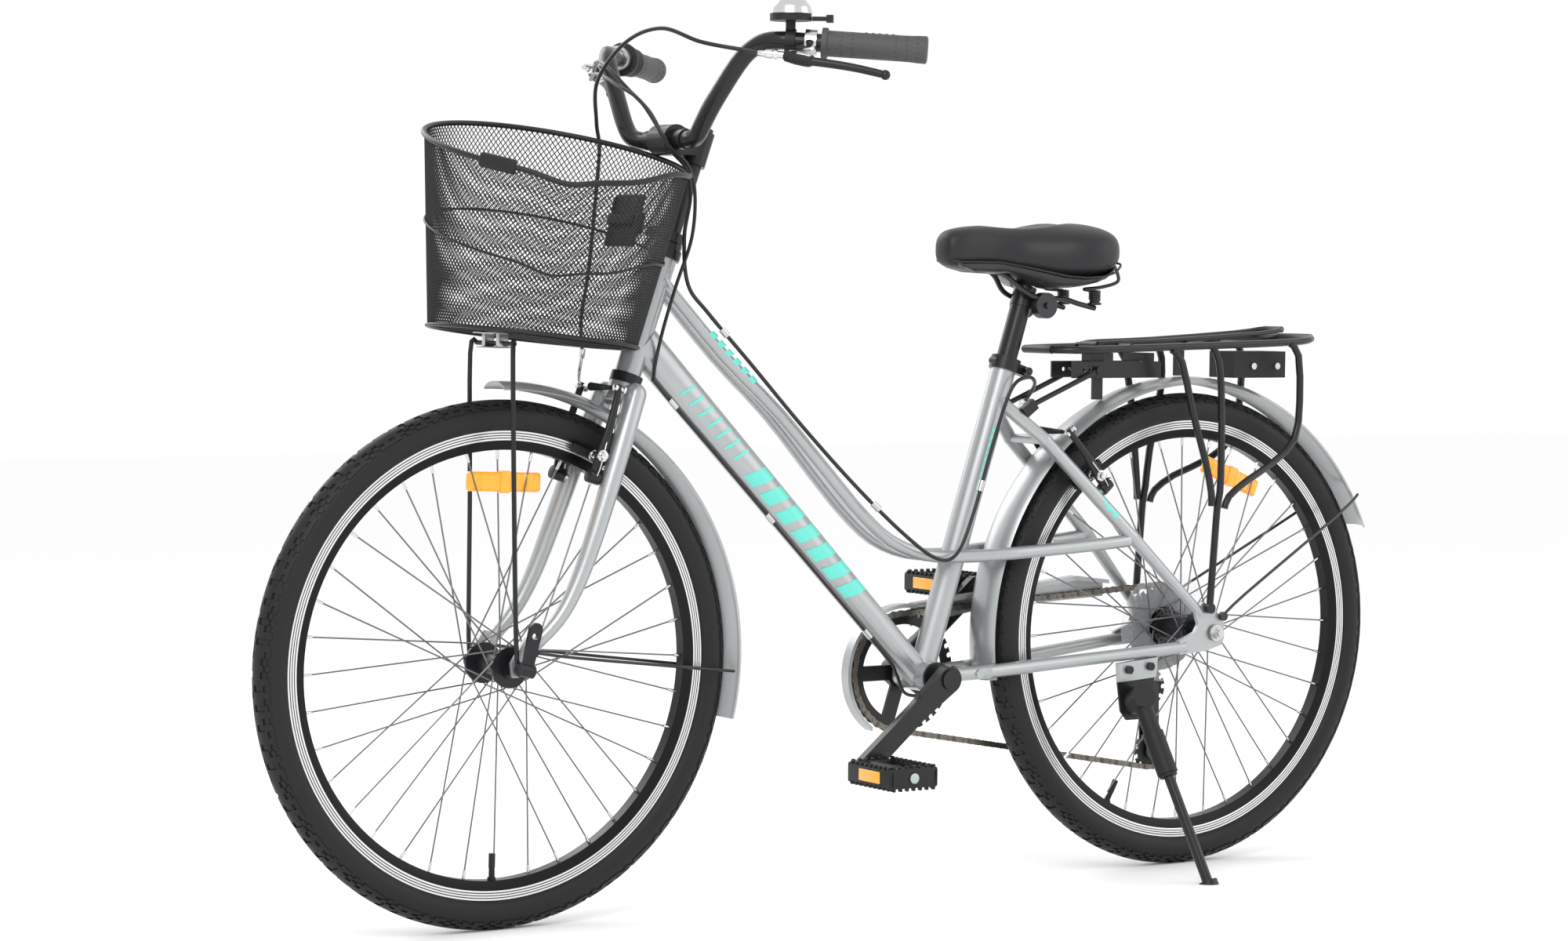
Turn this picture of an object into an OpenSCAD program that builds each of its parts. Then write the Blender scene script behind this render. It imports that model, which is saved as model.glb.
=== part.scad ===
// City bicycle standing on its kickstand, with basket, rear rack and fenders.
// Bike frame used by every module: origin at the rear axle, +X forward, +Y to the
// rider's left, +Z up. place() leans the bike onto its stand and drops it on the floor.

/* [Frame] */
// Distance between the two axles
wheelbase = 1064; // [1000:1:1130]
// Distance from the rear axle forward to the crank spindle
bb_x = 434; // [405:1:450]
// Height of the crank spindle below the axles
bb_drop = 43; // [25:1:60]
// Slope of the steering axis from level
head_angle = 70.5; // [68:0.5:74]
// Length of the head tube
head_tube_len = 152; // [130:1:190]
// Outer diameter of the head tube
head_tube_d = 33; // [30:0.5:40]
// Slope of the seat tube from level
seat_angle = 72.2; // [69:0.1:75]
// Length of the seat tube above the crank spindle
seat_tube_len = 430; // [340:1:460]
// Outer diameter of the seat tube
seat_tube_d = 33; // [31:0.5:38]
// Depth of the down tube at the head tube
down_tube_depth = 48; // [36:1:52]
// Width of the down tube
down_tube_w = 36; // [28:1:40]
// Diameter of the twin top tubes
twin_tube_d = 17; // [13:0.5:20]
// Diameter of the seat stays
seat_stay_d = 18; // [14:0.5:20]
// Diameter of the chain stays
chain_stay_d = 18; // [14:0.5:19]
// Distance between the rear dropouts' inner faces
rear_spacing = 135; // [130:1:142]

/* [Fork] */
// Distance from the steering axis to the front axle
fork_rake = 53.6; // [40:1:60]
// Distance between the front dropouts' inner faces
front_spacing = 100; // [96:1:110]
// Diameter of a fork blade at the crown
blade_top_d = 29; // [24:1:32]
// Diameter of a fork blade at the dropout
blade_tip_d = 15; // [12:1:18]

/* [Wheels] */
// Radius of the tyre's tread
tyre_r = 321.5; // [300:0.5:335]
// Width of the tyre's section
tyre_w = 44; // [36:1:50]
// Radius of the rim's outer edge
rim_r = 285.5; // [270:0.5:292]
// Width of the rim
rim_w = 26; // [22:1:30]
// Spokes in each wheel
spoke_count = 36; // [36]
// Diameter of a spoke
spoke_d = 2; // [1.6:0.1:2.4]

/* [Cranks] */
// Length of a crank arm between its centres
crank_len = 170; // [150:1:175]
// Slope of the left crank arm below level, pointing forward
crank_tilt = 38.6; // [0:1:90]
// Teeth on the chainring
ring_teeth = 38; // [36:1:44]
// Teeth on the largest sprocket
cog_teeth = 28; // [24:1:28]
// Length of a pedal along its axle
pedal_len = 96; // [80:1:104]
// Width of a pedal across its axle
pedal_w = 74; // [60:1:90]

/* [Cockpit] */
// Distance between the outer ends of the two grips
bar_span = 622; // [580:2:680]
// Height of the handlebar's clamp above the axles
clamp_z = 640; // [610:1:680]
// Height of the grips above the clamp
bar_rise = 116; // [90:1:140]
// Diameter of the handlebar
bar_d = 22.2; // [22:0.1:25.4]
// Outer diameter of a grip
grip_d = 33; // [29:0.5:36]
// Length of a grip
grip_len = 126; // [110:1:135]

/* [Saddle] */
// Length of the saddle
saddle_len = 256; // [230:1:275]
// Width of the saddle
saddle_w = 188; // [160:1:210]
// Diameter of the seat post
post_d = 27.2; // [25:0.1:28.6]
// Length of the seat post seen above the collar at rest
post_out = 98; // [60:1:130]

/* [Carriers] */
// Width of the rear rack
rack_w = 118; // [100:1:140]
// Length of the rear rack
rack_len = 448; // [380:1:470]
// Height of the basket's rim above its floor
basket_h = 218; // [160:1:240]
// Width of the basket at its rim
basket_w = 340; // [300:1:380]
// Length of the basket at its rim
basket_len = 316; // [290:1:318]

/* [Stand] */
// Lean of the bike toward its kickstand
lean_angle = 2; // [1.5:0.1:3]
// How far the kickstand's foot stands out from the bike's middle
foot_y = 200; // [180:1:230]

/* [Fits] */
// Running clearance between a shaft and its bore, on the radius
running_fit = 0.1; // [0.05:0.05:0.2]
// Gap left between pieces that move past each other
gap = 0.4; // [0.3:0.1:0.8]

/* [Hidden] */
$fn = 48;

// Steering axis
head_x0 = wheelbase - fork_rake / sin(head_angle);
head_low = 372;
head_high = head_low + head_tube_len;
function head_pt(s) = [head_x0 - s * cos(head_angle), 0, s * sin(head_angle)];
// Seat tube axis
seat_top = seat_tube_len;
function seat_pt(s) = [bb_x - s * cos(seat_angle), 0, s * sin(seat_angle) - bb_drop];
// Steerer, stem and clamp
clamp_x = 828;
// Floor: both tyres are round tori, so their lowest point is known exactly
ground_lift = (tyre_r - tyre_w / 2) * cos(lean_angle) + tyre_w / 2;
function floor_z(y) = (-ground_lift + y * sin(lean_angle)) / cos(lean_angle);
grip_end = [658, bar_span / 2, clamp_z + bar_rise - 12];
shift_x = -(wheelbase) / 2;
shift_y = -grip_end[2] * sin(lean_angle);
axle_d = 10;
hanger_t = 3;
front_axle_d = 9;
drop_t = 6;
spindle_d = 17;
chain_y = -42;
tooth_pitch = 12.7;
function pitch_r(teeth) = tooth_pitch / 2 / sin(180 / teeth);
ring_r = pitch_r(ring_teeth);
cog_r = pitch_r(cog_teeth);
jockey_r = pitch_r(11);
guide_c = [18, -84];
tension_c = [16, -172];
jockey_pin_d = 5;
stay_y = front_spacing / 2 + drop_t;
eyelet_t = 6.4;
qr_y = stay_y + eyelet_t + 4 + 8 + gap;
qr_blade = unit([-12, 0, 50]);
bar_in = 60;
rack_z = 381;
fender_r = 344;

// Puts the upright bike on the floor, leaning on its stand
module place() {
    translate([shift_x, shift_y, ground_lift]) rotate([-lean_angle, 0, 0]) children();
}

function unit(v) = v / norm(v);
function lerp(a, b, t) = a + (b - a) * t;

// Points of a Catmull-Rom curve through pts, k steps for each stretch
function curve(pts, k) = let (n = len(pts)) [
    for (i = [0 : n - 2]) for (j = [0 : k - 1])
        let (t = j / k, a = pts[max(i - 1, 0)], b = pts[i], c = pts[i + 1], d = pts[min(i + 2, n - 1)])
            0.5 * (2 * b + (c - a) * t + (2 * a - 5 * b + 4 * c - d) * t * t
                + (3 * b - a - 3 * c + d) * t * t * t),
    pts[n - 1]];

function tangent(p, i) = unit(p[min(i + 1, len(p) - 1)] - p[max(i - 1, 0)]);
function side_start(t) = unit(cross(t, abs(t[2]) < 0.9 ? [0, 0, 1] : [0, 1, 0]));
function carry(u, t) = unit(u - t * (u * t));

// Round tube of radius r0 to r1 along points p, with n sides
module sweep(p, r0, n = 12, r1 = -1) {
    m = len(p);
    r_end = r1 < 0 ? r0 : r1;
    us = [for (i = 0, u = side_start(tangent(p, 0)); i < m;
        i = i + 1, u = i < m ? carry(u, tangent(p, i)) : u) u];
    pts = [for (i = [0 : m - 1]) let (t = tangent(p, i), v = cross(t, us[i]), r = lerp(r0, r_end, i / (m - 1)))
        for (j = [0 : n - 1]) p[i] + r * (cos(360 * j / n) * us[i] + sin(360 * j / n) * v)];
    faces = concat(
        [[for (j = [0 : n - 1]) j]],
        [for (i = [0 : m - 2]) for (j = [0 : n - 1]) let (k = (j + 1) % n)
            [i * n + j, (i + 1) * n + j, (i + 1) * n + k, i * n + k]],
        [[for (j = [n - 1 : -1 : 0]) (m - 1) * n + j]]);
    polyhedron(pts, faces, convexity = 8);
}

// Stands a child's Z axis along the line from a to b
module along(a, b) {
    d = b - a;
    translate(a) rotate([0, acos(d[2] / norm(d)), atan2(d[1], d[0])]) children();
}

module rod(a, b, d, d2 = -1) {
    along(a, b) cylinder(h = norm(b - a), d1 = d, d2 = d2 < 0 ? d : d2);
}

// Cylinder along Y, from y0 to y1
module barrel(x, z, y0, y1, d) {
    translate([x, y0, z]) rotate([-90, 0, 0]) cylinder(h = y1 - y0, d = d);
}

// Flat plate in the XZ plane from outline points, from y0 to y1
module plate(y0, y1) {
    translate([0, y1, 0]) rotate([90, 0, 0]) linear_extrude(y1 - y0) children();
}

module both_sides() {
    children();
    mirror([0, 1, 0]) children();
}

// Child drawn upright is turned onto the steering axis, its Z running up the axis
module on_head() {
    translate([head_x0, 0, 0]) rotate([0, head_angle - 90, 0]) children();
}

module on_seat() {
    translate([bb_x, 0, -bb_drop]) rotate([0, seat_angle - 90, 0]) children();
}

// ---------------------------------------------------------------- frame
dt_top = head_pt(head_low + 46);
dt_end = [bb_x + 4, 0, -bb_drop];
stay_top = seat_pt(seat_top - 56);
twin_head = head_pt(head_high - 28);
// Left one of the twin top tubes, from the head tube to the seat stay
twin_path = curve([twin_head + [0, 9, 0], twin_head + [-90, 11, -93], [668, 14, 300], [590, 18, 218],
    [545, 19, 172], [500, 20, 136], [446, 22, 116], [388, 24.5, 112], [332, 38.5, 114], [300, 42, 116],
    [210, 46, 121], [132, 50, 127]], 3);
stay_mid = [126, 50, 132];
stay_wide = lerp(stay_top, stay_mid, 0.28) + [0, 24.5, 0];

module dropout(side) {
    plate(side * (rear_spacing / 2 + drop_t / 2) - drop_t / 2, side * (rear_spacing / 2 + drop_t / 2) + drop_t / 2)
        difference() {
            polygon([[-17, -8], [-12, -17], [14, -24], [60, -27], [60, -8], [34, 2], [28, 12], [34, 30], [20, 42], [-2, 30], [-16, 14]]);
            circle(d = axle_d + 2 * running_fit);
        }
}

stay_bend = [345, 30, -40];
stay_end = [48, rear_spacing / 2 + 2, -17.5];

// Left chain stay, grown by extra on its diameter
module chain_stay(extra = 0) {
    rod([bb_x - 10, 26, -bb_drop], stay_bend, chain_stay_d + extra);
    translate(stay_bend) sphere(d = chain_stay_d + extra + 0.8, $fn = 20);
    rod(stay_bend, stay_end, chain_stay_d + extra, 16 + extra);
}

module frame_solid() {
    on_head() translate([0, 0, head_low]) cylinder(h = head_tube_len, d = head_tube_d);
    on_seat() cylinder(h = seat_top, d = seat_tube_d);
    barrel(bb_x, -bb_drop, -34, 34, 41);
    // Down tube: deep at the head, rounder at the bottom bracket
    hull() {
        along(dt_top, dt_end) translate([0, 0, 4]) linear_extrude(4) resize([down_tube_depth, down_tube_w]) circle(20, $fn = 20);
        along(dt_end, dt_top) linear_extrude(4) resize([down_tube_depth - 10, down_tube_w]) circle(20, $fn = 20);
    }
    both_sides() {
        sweep(twin_path, twin_tube_d / 2, 10);
        rod(stay_top + [0, 10, 0], stay_wide, seat_stay_d);
        translate(stay_wide) sphere(d = seat_stay_d + 0.8, $fn = 20);
        rod(stay_wide, stay_mid, seat_stay_d);
        translate(stay_mid) sphere(d = seat_stay_d + 0.8, $fn = 20);
        rod(stay_mid, [22, rear_spacing / 2 + 3, 26], seat_stay_d, 13);
        chain_stay();
    }
    dropout(1);
    dropout(-1);
    // Stay bridges, seat lug, and the fender tab of the chain stays
    rod([366, -40, -41], [366, 40, -41], 12);
    rod([stay_wide[0], -stay_wide[1], stay_wide[2]], stay_wide, 12);
    // Studs of the rear brake
    both_sides() rod(rear_post + 20 * rear_pin, rear_post - 8 * rear_pin, 8);
}

module frame() color("silver") difference() {
    frame_solid();
    on_head() translate([0, 0, head_low - 1]) cylinder(h = head_tube_len + 2, d = head_tube_d - 4);
    on_seat() translate([0, 0, 60]) cylinder(h = seat_top, d = post_d + 2 * running_fit);
    barrel(bb_x, -bb_drop, -35, 35, 34);
}

module bearings() color("black") {
    // Headset: lower cup, upper cup and lock nut, each bored for the steerer
    for (r = [[head_low - 12, 12, 40], [head_high, 12, 39], [head_high + 12.4, 7, 35]])
        on_head() translate([0, 0, r[0]]) difference() {
            cylinder(h = r[1], d = r[2]);
            translate([0, 0, -1]) cylinder(h = r[1] + 2, d = 25.4 + 2 * running_fit);
        }
    // Bottom bracket cups
    both_sides() difference() {
        union() {
            barrel(bb_x, -bb_drop, 34, 38, 40);
            barrel(bb_x, -bb_drop, 14, 34, 33.6);
        }
        barrel(bb_x, -bb_drop, 13, 39, spindle_d + 2 * running_fit);
    }
}

module seat_collar() color("black") on_seat() translate([0, 0, seat_top - 14]) difference() {
    union() {
        cylinder(h = 17, d = seat_tube_d + 7);
        translate([-36, -7, 2]) cube([20, 14, 13]);
        translate([-30, 16, 8.5]) rotate([90, 0, 0]) cylinder(h = 32, d = 11);
        translate([17, 0, 8.5]) rotate([90, 0, 0]) translate([0, 0, -7]) cylinder(h = 14, d = 10);
    }
    translate([0, 0, -1]) cylinder(h = 15.4, d = seat_tube_d + 0.2);
    cylinder(h = 20, d = post_d + 2 * running_fit);
    translate([-44, -1, -1]) cube([26, 2, 20]);
}

// ---------------------------------------------------------------- rear end
rack_x1 = 249;
rack_x0 = rack_x1 - rack_len;
leg_y = rear_spacing / 2 + drop_t + 6;

// Half of the rack's outer loop, from its middle at the front to its middle at the back
rack_loop = [[rack_x1, 24, rack_z], [rack_x1 - 3, 34, rack_z], [rack_x1 - 22, rack_w / 2 - 5, rack_z],
    [rack_x1 - 60, rack_w / 2, rack_z + 1], [0, rack_w / 2, rack_z + 6], [rack_x0 + 70, rack_w / 2, rack_z + 10],
    [rack_x0 + 24, rack_w / 2 - 6, rack_z + 13], [rack_x0 + 3, 34, rack_z + 16], [rack_x0, 24, rack_z + 16]];
leg_foot = [14, leg_y, 38];

module rack_leg(pts) sweep(curve(pts, 2), 5, 8);

module rack_half() {
    sweep(curve(rack_loop, 2), 5, 8);
    // Raised inner loop
    sweep(curve([[rack_x1 - 85, 14, rack_z + 6], [rack_x1 - 92, 22, rack_z + 7], [rack_x1 - 120, 28, rack_z + 9],
        [40, 28, rack_z + 12], [rack_x0 + 90, 28, rack_z + 21], [rack_x0 + 50, 22, rack_z + 26],
        [rack_x0 + 42, 14, rack_z + 27]], 2), 4, 8);
    // Three legs that meet above the dropout
    rack_leg([[70, rack_w / 2, rack_z], [54, rack_w / 2 + 2, rack_z - 16], [38, rack_w / 2 + 6, 300],
        [22, leg_y - 4, 230], [15, leg_y, 190], [14, leg_y, 172]]);
    rack_leg([[0, rack_w / 2, rack_z + 4], [-10, rack_w / 2 + 2, rack_z - 14], [-12, rack_w / 2 + 6, 320],
        [-4, leg_y - 3, 240], [0, leg_y, 190], [4, leg_y, 172], [8, leg_y, 120], leg_foot]);
    rack_leg([[rack_x0 + 62, rack_w / 2, rack_z + 9], [rack_x0 + 47, rack_w / 2 + 1, rack_z - 8],
        [rack_x0 + 46, rack_w / 2 + 4, rack_z - 70], [rack_x0 + 56, rack_w / 2 + 6, rack_z - 122],
        [-104, rack_w / 2 + 8, 228], [-48, leg_y - 2, 204], [-16, leg_y, 184], [-8, leg_y, 168]]);
    // Leg foot with its bolt eye
    barrel(leg_foot[0], leg_foot[2] - 4, leg_y - 4, leg_y + 4, 14);
}

module rear_rack() color("black") {
    both_sides() rack_half();
    // Ends of the two loops, and the deck's cross bars
    for (e = [[rack_x1, rack_z, 30, 10.8], [rack_x0, rack_z + 16, 30, 10.8], [rack_x1 - 85, rack_z + 6, 18, 8.8],
        [rack_x0 + 42, rack_z + 27, 18, 8.8], [rack_x1 - 110, rack_z + 5, rack_w / 2, 7], [20, rack_z + 5, rack_w / 2, 7],
        [rack_x0 + 90, rack_z + 8, rack_w / 2, 7]]) barrel(e[0], e[1], -e[2], e[2], e[3]);
}

module rack_fittings() color("dimgray") {
    // Slotted strips under the deck
    both_sides() difference() {
        translate([60, 21, rack_z - 38]) cube([150, 3, 22]);
        for (x = [190, 180, 170]) barrel(x, rack_z - 27, 15, 30, 6);
    }
    for (x = [80, 150]) translate([x - 8, -24, rack_z - 16]) cube([16, 48, 11.4]);
    // Struts to the seat stays, with their end blocks
    both_sides() {
        rod([170, 27, rack_z - 28], [284, 27, 306], 7);
        translate([284, 27, 304]) rotate([0, 36, 0]) cube([22, 9, 15], center = true);
        barrel(170, rack_z - 28, 24, 32, 11);
    }
    // Tabs that hold the fender
    for (x = [150, 10]) translate([x - 7, -3.5, sqrt(fender_r * fender_r - x * x) + (x < 100 ? 1 : 4)])
        cube([14, 7, rack_z - 4 - sqrt(fender_r * fender_r - x * x) + (x < 100 ? 2 : -12)]);
}

module rear_reflector() color("black") {
    difference() {
        translate([-158, -26, 342]) cube([92, 52, 36]);
        translate([-154, -22, 338]) cube([84, 44, 36]);
    }
    for (x = [-142, -100]) for (s = [-1, 1]) barrel(x, 358, s * 27.5 - 1.4, s * 27.5 + 1.4, 9);
}

// Shell of a fender round an axle at (cx, 0), from angle a0 to a1 about the axle
module fender(cx, a0, a1, w) {
    translate([cx, 0, 0]) rotate([90, 0, 0]) rotate([0, 0, a0])
        rotate_extrude(angle = a1 - a0, $fn = 120) polygon(concat(
            [for (t = [-70 : 14 : 70]) [fender_r - 14 + 14 * cos(t) + 0, w / 2 * sin(t) / sin(70)]],
            [for (t = [70 : -14 : -70]) [fender_r - 15.4 + 14 * cos(t), (w / 2 - 1.2) * sin(t) / sin(70)]]));
}

module rear_fender() color("silver") difference() {
    fender(0, -9, 157, 56);
    both_sides() chain_stay(2);
}

module rear_fender_stays() color("dimgray") {
    both_sides() {
        sweep(curve([[-14, leg_y - 4, 24], [-60, 66, 50], [-200, 48, 126], [-268, 38, 164], [-292, 30, 178]], 3), 2, 8);
        barrel(-12, 22, rear_spacing / 2 + drop_t, rear_spacing / 2 + drop_t + 6, 12);
    }
}

module chain_guard() color("silver") {
    // Ring cover round the front of the chainring
    plate(chain_y - 9, chain_y + 7) translate([bb_x, -bb_drop]) difference() {
        circle(r = ring_r + 13);
        circle(r = ring_r + 8);
        translate([-200, -200]) square([182, 400]);
        translate([-20, -200]) square([70, 130]);
    }
    // Upper cover over the chain's top run
    plate(chain_y - 9, chain_y + 7) difference() {
        polygon([[bb_x - 16, -bb_drop + ring_r + 13], [bb_x - 16, -bb_drop + ring_r + 8], [150, 68], [96, 62], [96, 67], [150, 74]]);
    }
    plate(chain_y - 9, chain_y - 7) polygon([[bb_x - 18, -bb_drop + ring_r + 13], [bb_x - 18, -bb_drop + ring_r - 18],
        [300, 34], [96, 44], [96, 67], [150, 74]]);
    // Bracket to the seat tube
    translate([390, chain_y + 7, 44]) cube([14, 16, 4]);
}

// ---------------------------------------------------------------- kickstand
stand_pivot = [131, 66, -88];
// The pivot's axis is slanted, so the leg swings up to lie along the chain stay
stand_axis = unit([0.155, 0.901, 0.405]);
sleeve_top = stand_pivot + 18 * stand_axis;
foot_pt = [stand_pivot[0] - 22, foot_y, floor_z(foot_y)];
stand_dir = unit(foot_pt - sleeve_top);

module kickstand_bracket() {
    color("silver") plate(59, 67) difference() {
        polygon([[92, -29.4], [158, -35], [156, -60], [94, -56]]);
        translate([142, -44]) circle(d = 6);
        translate([106, -41]) circle(d = 6);
    }
    color("black") {
        for (p = [[142, -44], [106, -41]]) barrel(p[0], p[1], 60, 71, 5.7);
        for (p = [[142, -44], [106, -41]]) barrel(p[0], p[1], 67.3, 72, 11);
        plate(59.4, 62.6) polygon([[94, -56.4], [156, -60.4], [150, -100], [140, -112], [118, -112], [102, -98]]);
        rod(stand_pivot - 8 * stand_axis, stand_pivot + 5 * stand_axis, 32);
        rod(stand_pivot, stand_pivot + 30 * stand_axis, 10);
    }
}

// Leg's upper casting and plastic sleeve; the inner leg slides in its bore
module stand_sleeve() color("black") difference() {
    union() {
        rod(stand_pivot + (5 + gap) * stand_axis, stand_pivot + 31 * stand_axis, 34);
        rod(sleeve_top + 4 * stand_dir, sleeve_top + 112 * stand_dir, 24);
        rod(sleeve_top + 50 * stand_dir, sleeve_top + 108 * stand_dir, 28);
    }
    rod(stand_pivot, stand_pivot + 30.5 * stand_axis, 10 + 2 * running_fit);
    rod(sleeve_top + 18 * stand_dir, sleeve_top + 114 * stand_dir, 14 + 2 * running_fit);
}

module stand_foot() color("black") {
    l = norm(foot_pt - sleeve_top);
    difference() {
        rod(sleeve_top + 38 * stand_dir, sleeve_top + (l - 4) * stand_dir, 14);
        rod(sleeve_top + (l - 34) * stand_dir, sleeve_top + (l + 4) * stand_dir, 10);
    }
    // Rubber foot with a flat sole on the floor
    difference() {
        union() {
            rod(sleeve_top + (l - 33) * stand_dir, sleeve_top + (l - 1) * stand_dir, 9.6);
            rod(sleeve_top + (l - 3.4) * stand_dir, sleeve_top + (l + 14) * stand_dir, 26);
        }
        rotate([lean_angle, 0, 0]) translate([0, 100, -ground_lift - 40]) cube([240, 200, 40]);
    }
}

// ---------------------------------------------------------------- chain and gears
module tooth_wheel(teeth, y0, y1) {
    r = pitch_r(teeth);
    plate(y0, y1) difference() {
        circle(r = r + 3, $fn = 96);
        for (i = [0 : teeth - 1]) rotate(360 * (i + 0.5) / teeth) translate([r + 0.6, 0]) circle(r = 3.6, $fn = 16);
        children();
    }
}

module derailleur() color("dimgray") {
    // Hanger and knuckle
    plate(-rear_spacing / 2 - drop_t - hanger_t, -rear_spacing / 2 - drop_t) difference() {
        polygon([[-11, 6], [-6, 11], [6, 11], [11, 6], [16, -30], [10, -40], [-4, -36]]);
        circle(d = axle_d + 2 * running_fit);
    }
    barrel(5, -32, -rear_spacing / 2 - 16, -rear_spacing / 2 - drop_t - hanger_t, 15);
    // Parallelogram body, reaching in to the cage
    rod([5, -rear_spacing / 2 - 12, -34], [guide_c[0] + 4, chain_y - 16, guide_c[1] + 6], 14);
    // Cage plates with the two jockey wheels' pins
    for (y = [chain_y - 9, chain_y + 6]) plate(y, y + 2) hull() {
        translate(guide_c) circle(d = 22, $fn = 24);
        translate(tension_c) circle(d = 22, $fn = 24);
    }
    for (c = [guide_c, tension_c]) barrel(c[0], c[1], chain_y - 7.5, chain_y + 6.5, jockey_pin_d);
    barrel(guide_c[0], guide_c[1], chain_y - 24, chain_y - 8.5, 18);
}

// Small toothed wheel of the derailleur's cage
module jockey(c) color("dimgray") translate([c[0], 0, c[1]])
    tooth_wheel(11, chain_y - 2, chain_y + 2) circle(d = jockey_pin_d + 2 * running_fit);

module jockey_guide() jockey(guide_c);
module jockey_tension() jockey(tension_c);

// Straight stretch of chain: two rows of side plates and the rollers between them
module chain_run(p, q) {
    d = unit(q - p);
    w = [-d[1], d[0]];
    for (s = [-1, 1]) plate(chain_y + s * 3.3 - 0.8, chain_y + s * 3.3 + 0.8)
        polygon([p + 4 * w, q + 4 * w, q - 4 * w, p - 4 * w]);
    count = floor(norm(q - p) / tooth_pitch);
    for (i = [0 : count - 1]) let (c = p + d * (i + 0.5) * tooth_pitch)
        barrel(c[0], c[1], chain_y - 3, chain_y + 3, 5);
}

module chain() color("tan") {
    chain_run([bb_x - 40, -bb_drop + ring_r + 1.6 - 1.5], [56, cog_r + 1.2]);
    chain_run([bb_x - 44, -bb_drop - ring_r - 1], [tension_c[0] + 34, tension_c[1] - jockey_r + 1]);
}

module freewheel() color("gray") {
    sizes = [28, 24, 22, 20, 18, 16, 14];
    difference() {
        union() {
            for (i = [0 : 6]) let (y = -37 - 3.6 * i)
                tooth_wheel(i == 0 ? cog_teeth : sizes[i] - 28 + cog_teeth, y - 1, y + 1);
            barrel(0, 0, -61, -37, 44);
        }
        barrel(0, 0, -62, -30, 38);
    }
}

module rear_hub() color("silver") difference() {
    union() {
        barrel(0, 0, -30, 44, 30);
        barrel(0, 0, 32, 36, 50);
        barrel(0, 0, -30, -26, 50);
        barrel(0, 0, -60, -30, 38 - 2 * gap);
    }
    barrel(0, 0, -61, 45, axle_d + 2 * running_fit);
    for (a = [0 : 20 : 340]) for (y = [30, -32]) rotate([0, -a, 0]) barrel(21, 0, y, y + 8, 2.8, $fn = 13);
}

module rear_axle() color("dimgray") {
    barrel(0, 0, -88, 88, axle_d);
    barrel(0, 0, 44 + gap, rear_spacing / 2, 19);
    barrel(0, 0, -rear_spacing / 2, -61 - gap, 19);
    both_sides() {
        barrel(0, 0, rear_spacing / 2 + drop_t + hanger_t, rear_spacing / 2 + drop_t + hanger_t + 2, 22);
        barrel(0, 0, rear_spacing / 2 + drop_t + hanger_t + 2, rear_spacing / 2 + drop_t + hanger_t + 8, 17, $fn = 6);
    }
}

// ---------------------------------------------------------------- cranks
module crank_arm() {
    // Drawn with the spindle at the origin and the arm along +X
    hull() {
        translate([0, 0, 0]) rotate([-90, 0, 0]) cylinder(h = 16, d = 34, $fn = 32);
        translate([60, 4, 0]) rotate([-90, 0, 0]) cylinder(h = 12, d = 26, $fn = 32);
    }
    hull() {
        translate([60, 4, 0]) rotate([-90, 0, 0]) cylinder(h = 12, d = 26, $fn = 32);
        translate([crank_len, 8, 0]) rotate([-90, 0, 0]) cylinder(h = 12, d = 27, $fn = 32);
    }
}

pedal_pin_d = 14;
crank_y = 52;

module crankset() color("black") translate([bb_x, 0, -bb_drop]) {
    // Left arm forward and down, right arm opposite
    difference() {
        union() {
            rotate([0, crank_tilt, 0]) translate([0, crank_y, 0]) crank_arm();
            mirror([0, 1, 0]) rotate([0, crank_tilt + 180, 0]) translate([0, crank_y, 0]) crank_arm();
        }
        for (s = [0, 1]) mirror([0, s, 0]) rotate([0, crank_tilt + 180 * s, 0])
            barrel(crank_len, 0, crank_y, crank_y + 40, pedal_pin_d + 2 * running_fit);
    }
    barrel(0, 0, -crank_y - 9, crank_y + 9, spindle_d);
    both_sides() barrel(0, 0, crank_y + 15, crank_y + 19, 27);
    // Five-armed chainring
    tooth_wheel(ring_teeth, chain_y - 1, chain_y + 1) circle(r = ring_r - 14);
    for (a = [0 : 72 : 288]) rotate([0, a, 0]) translate([12, chain_y - 5, -10]) cube([ring_r - 20, 4.3, 20]);
    barrel(0, 0, chain_y - 10.6, chain_y - 1, 44);
}

// Pedal round its own axle, at the right end of its crank
module pedal() {
    difference() {
        union() {
            translate([-pedal_w / 2, 26, -13]) cube([pedal_w, 6, 26]);
            translate([-pedal_w / 2, 26 + pedal_len - 6, -13]) cube([pedal_w, 6, 26]);
            for (s = [-1, 1]) translate([s * (pedal_w / 2 - 4) - 4, 28, -12]) cube([8, pedal_len - 4, 24]);
            barrel(0, 0, 26, 26 + pedal_len, 24);
            translate([-pedal_w / 2, 26 + pedal_len / 2 - 3, -9]) cube([pedal_w, 6, 18]);
        }
    }
    barrel(0, 0, 4, 27, pedal_pin_d);
}

module at_pedal(s) {
    translate([bb_x, 0, -bb_drop]) mirror([0, s, 0]) rotate([0, crank_tilt + 180 * s, 0])
        translate([crank_len, crank_y + 4, 0]) rotate([0, -crank_tilt - 180 * s, 0]) children();
}

module pedal_left() color("black") at_pedal(0) pedal();
module pedal_right() color("black") at_pedal(1) pedal();

// ---------------------------------------------------------------- wheels
module tyre(cx) {
    c = tyre_r - tyre_w / 2;
    translate([cx, 0, 0]) rotate([90, 0, 0]) rotate_extrude($fn = 180) difference() {
        translate([c, 0]) circle(d = tyre_w, $fn = 48);
        translate([c, 0]) circle(d = tyre_w - 10.4, $fn = 48);
        translate([rim_r - 50.2, -tyre_w]) square([50.6, tyre_w - rim_w / 2 + 2.4]);
        translate([rim_r - 50.2, rim_w / 2 - 2.4]) square([50.6, tyre_w]);
        translate([rim_r - 50, -tyre_w]) square([47.5, 2 * tyre_w]);
    }
}

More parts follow.
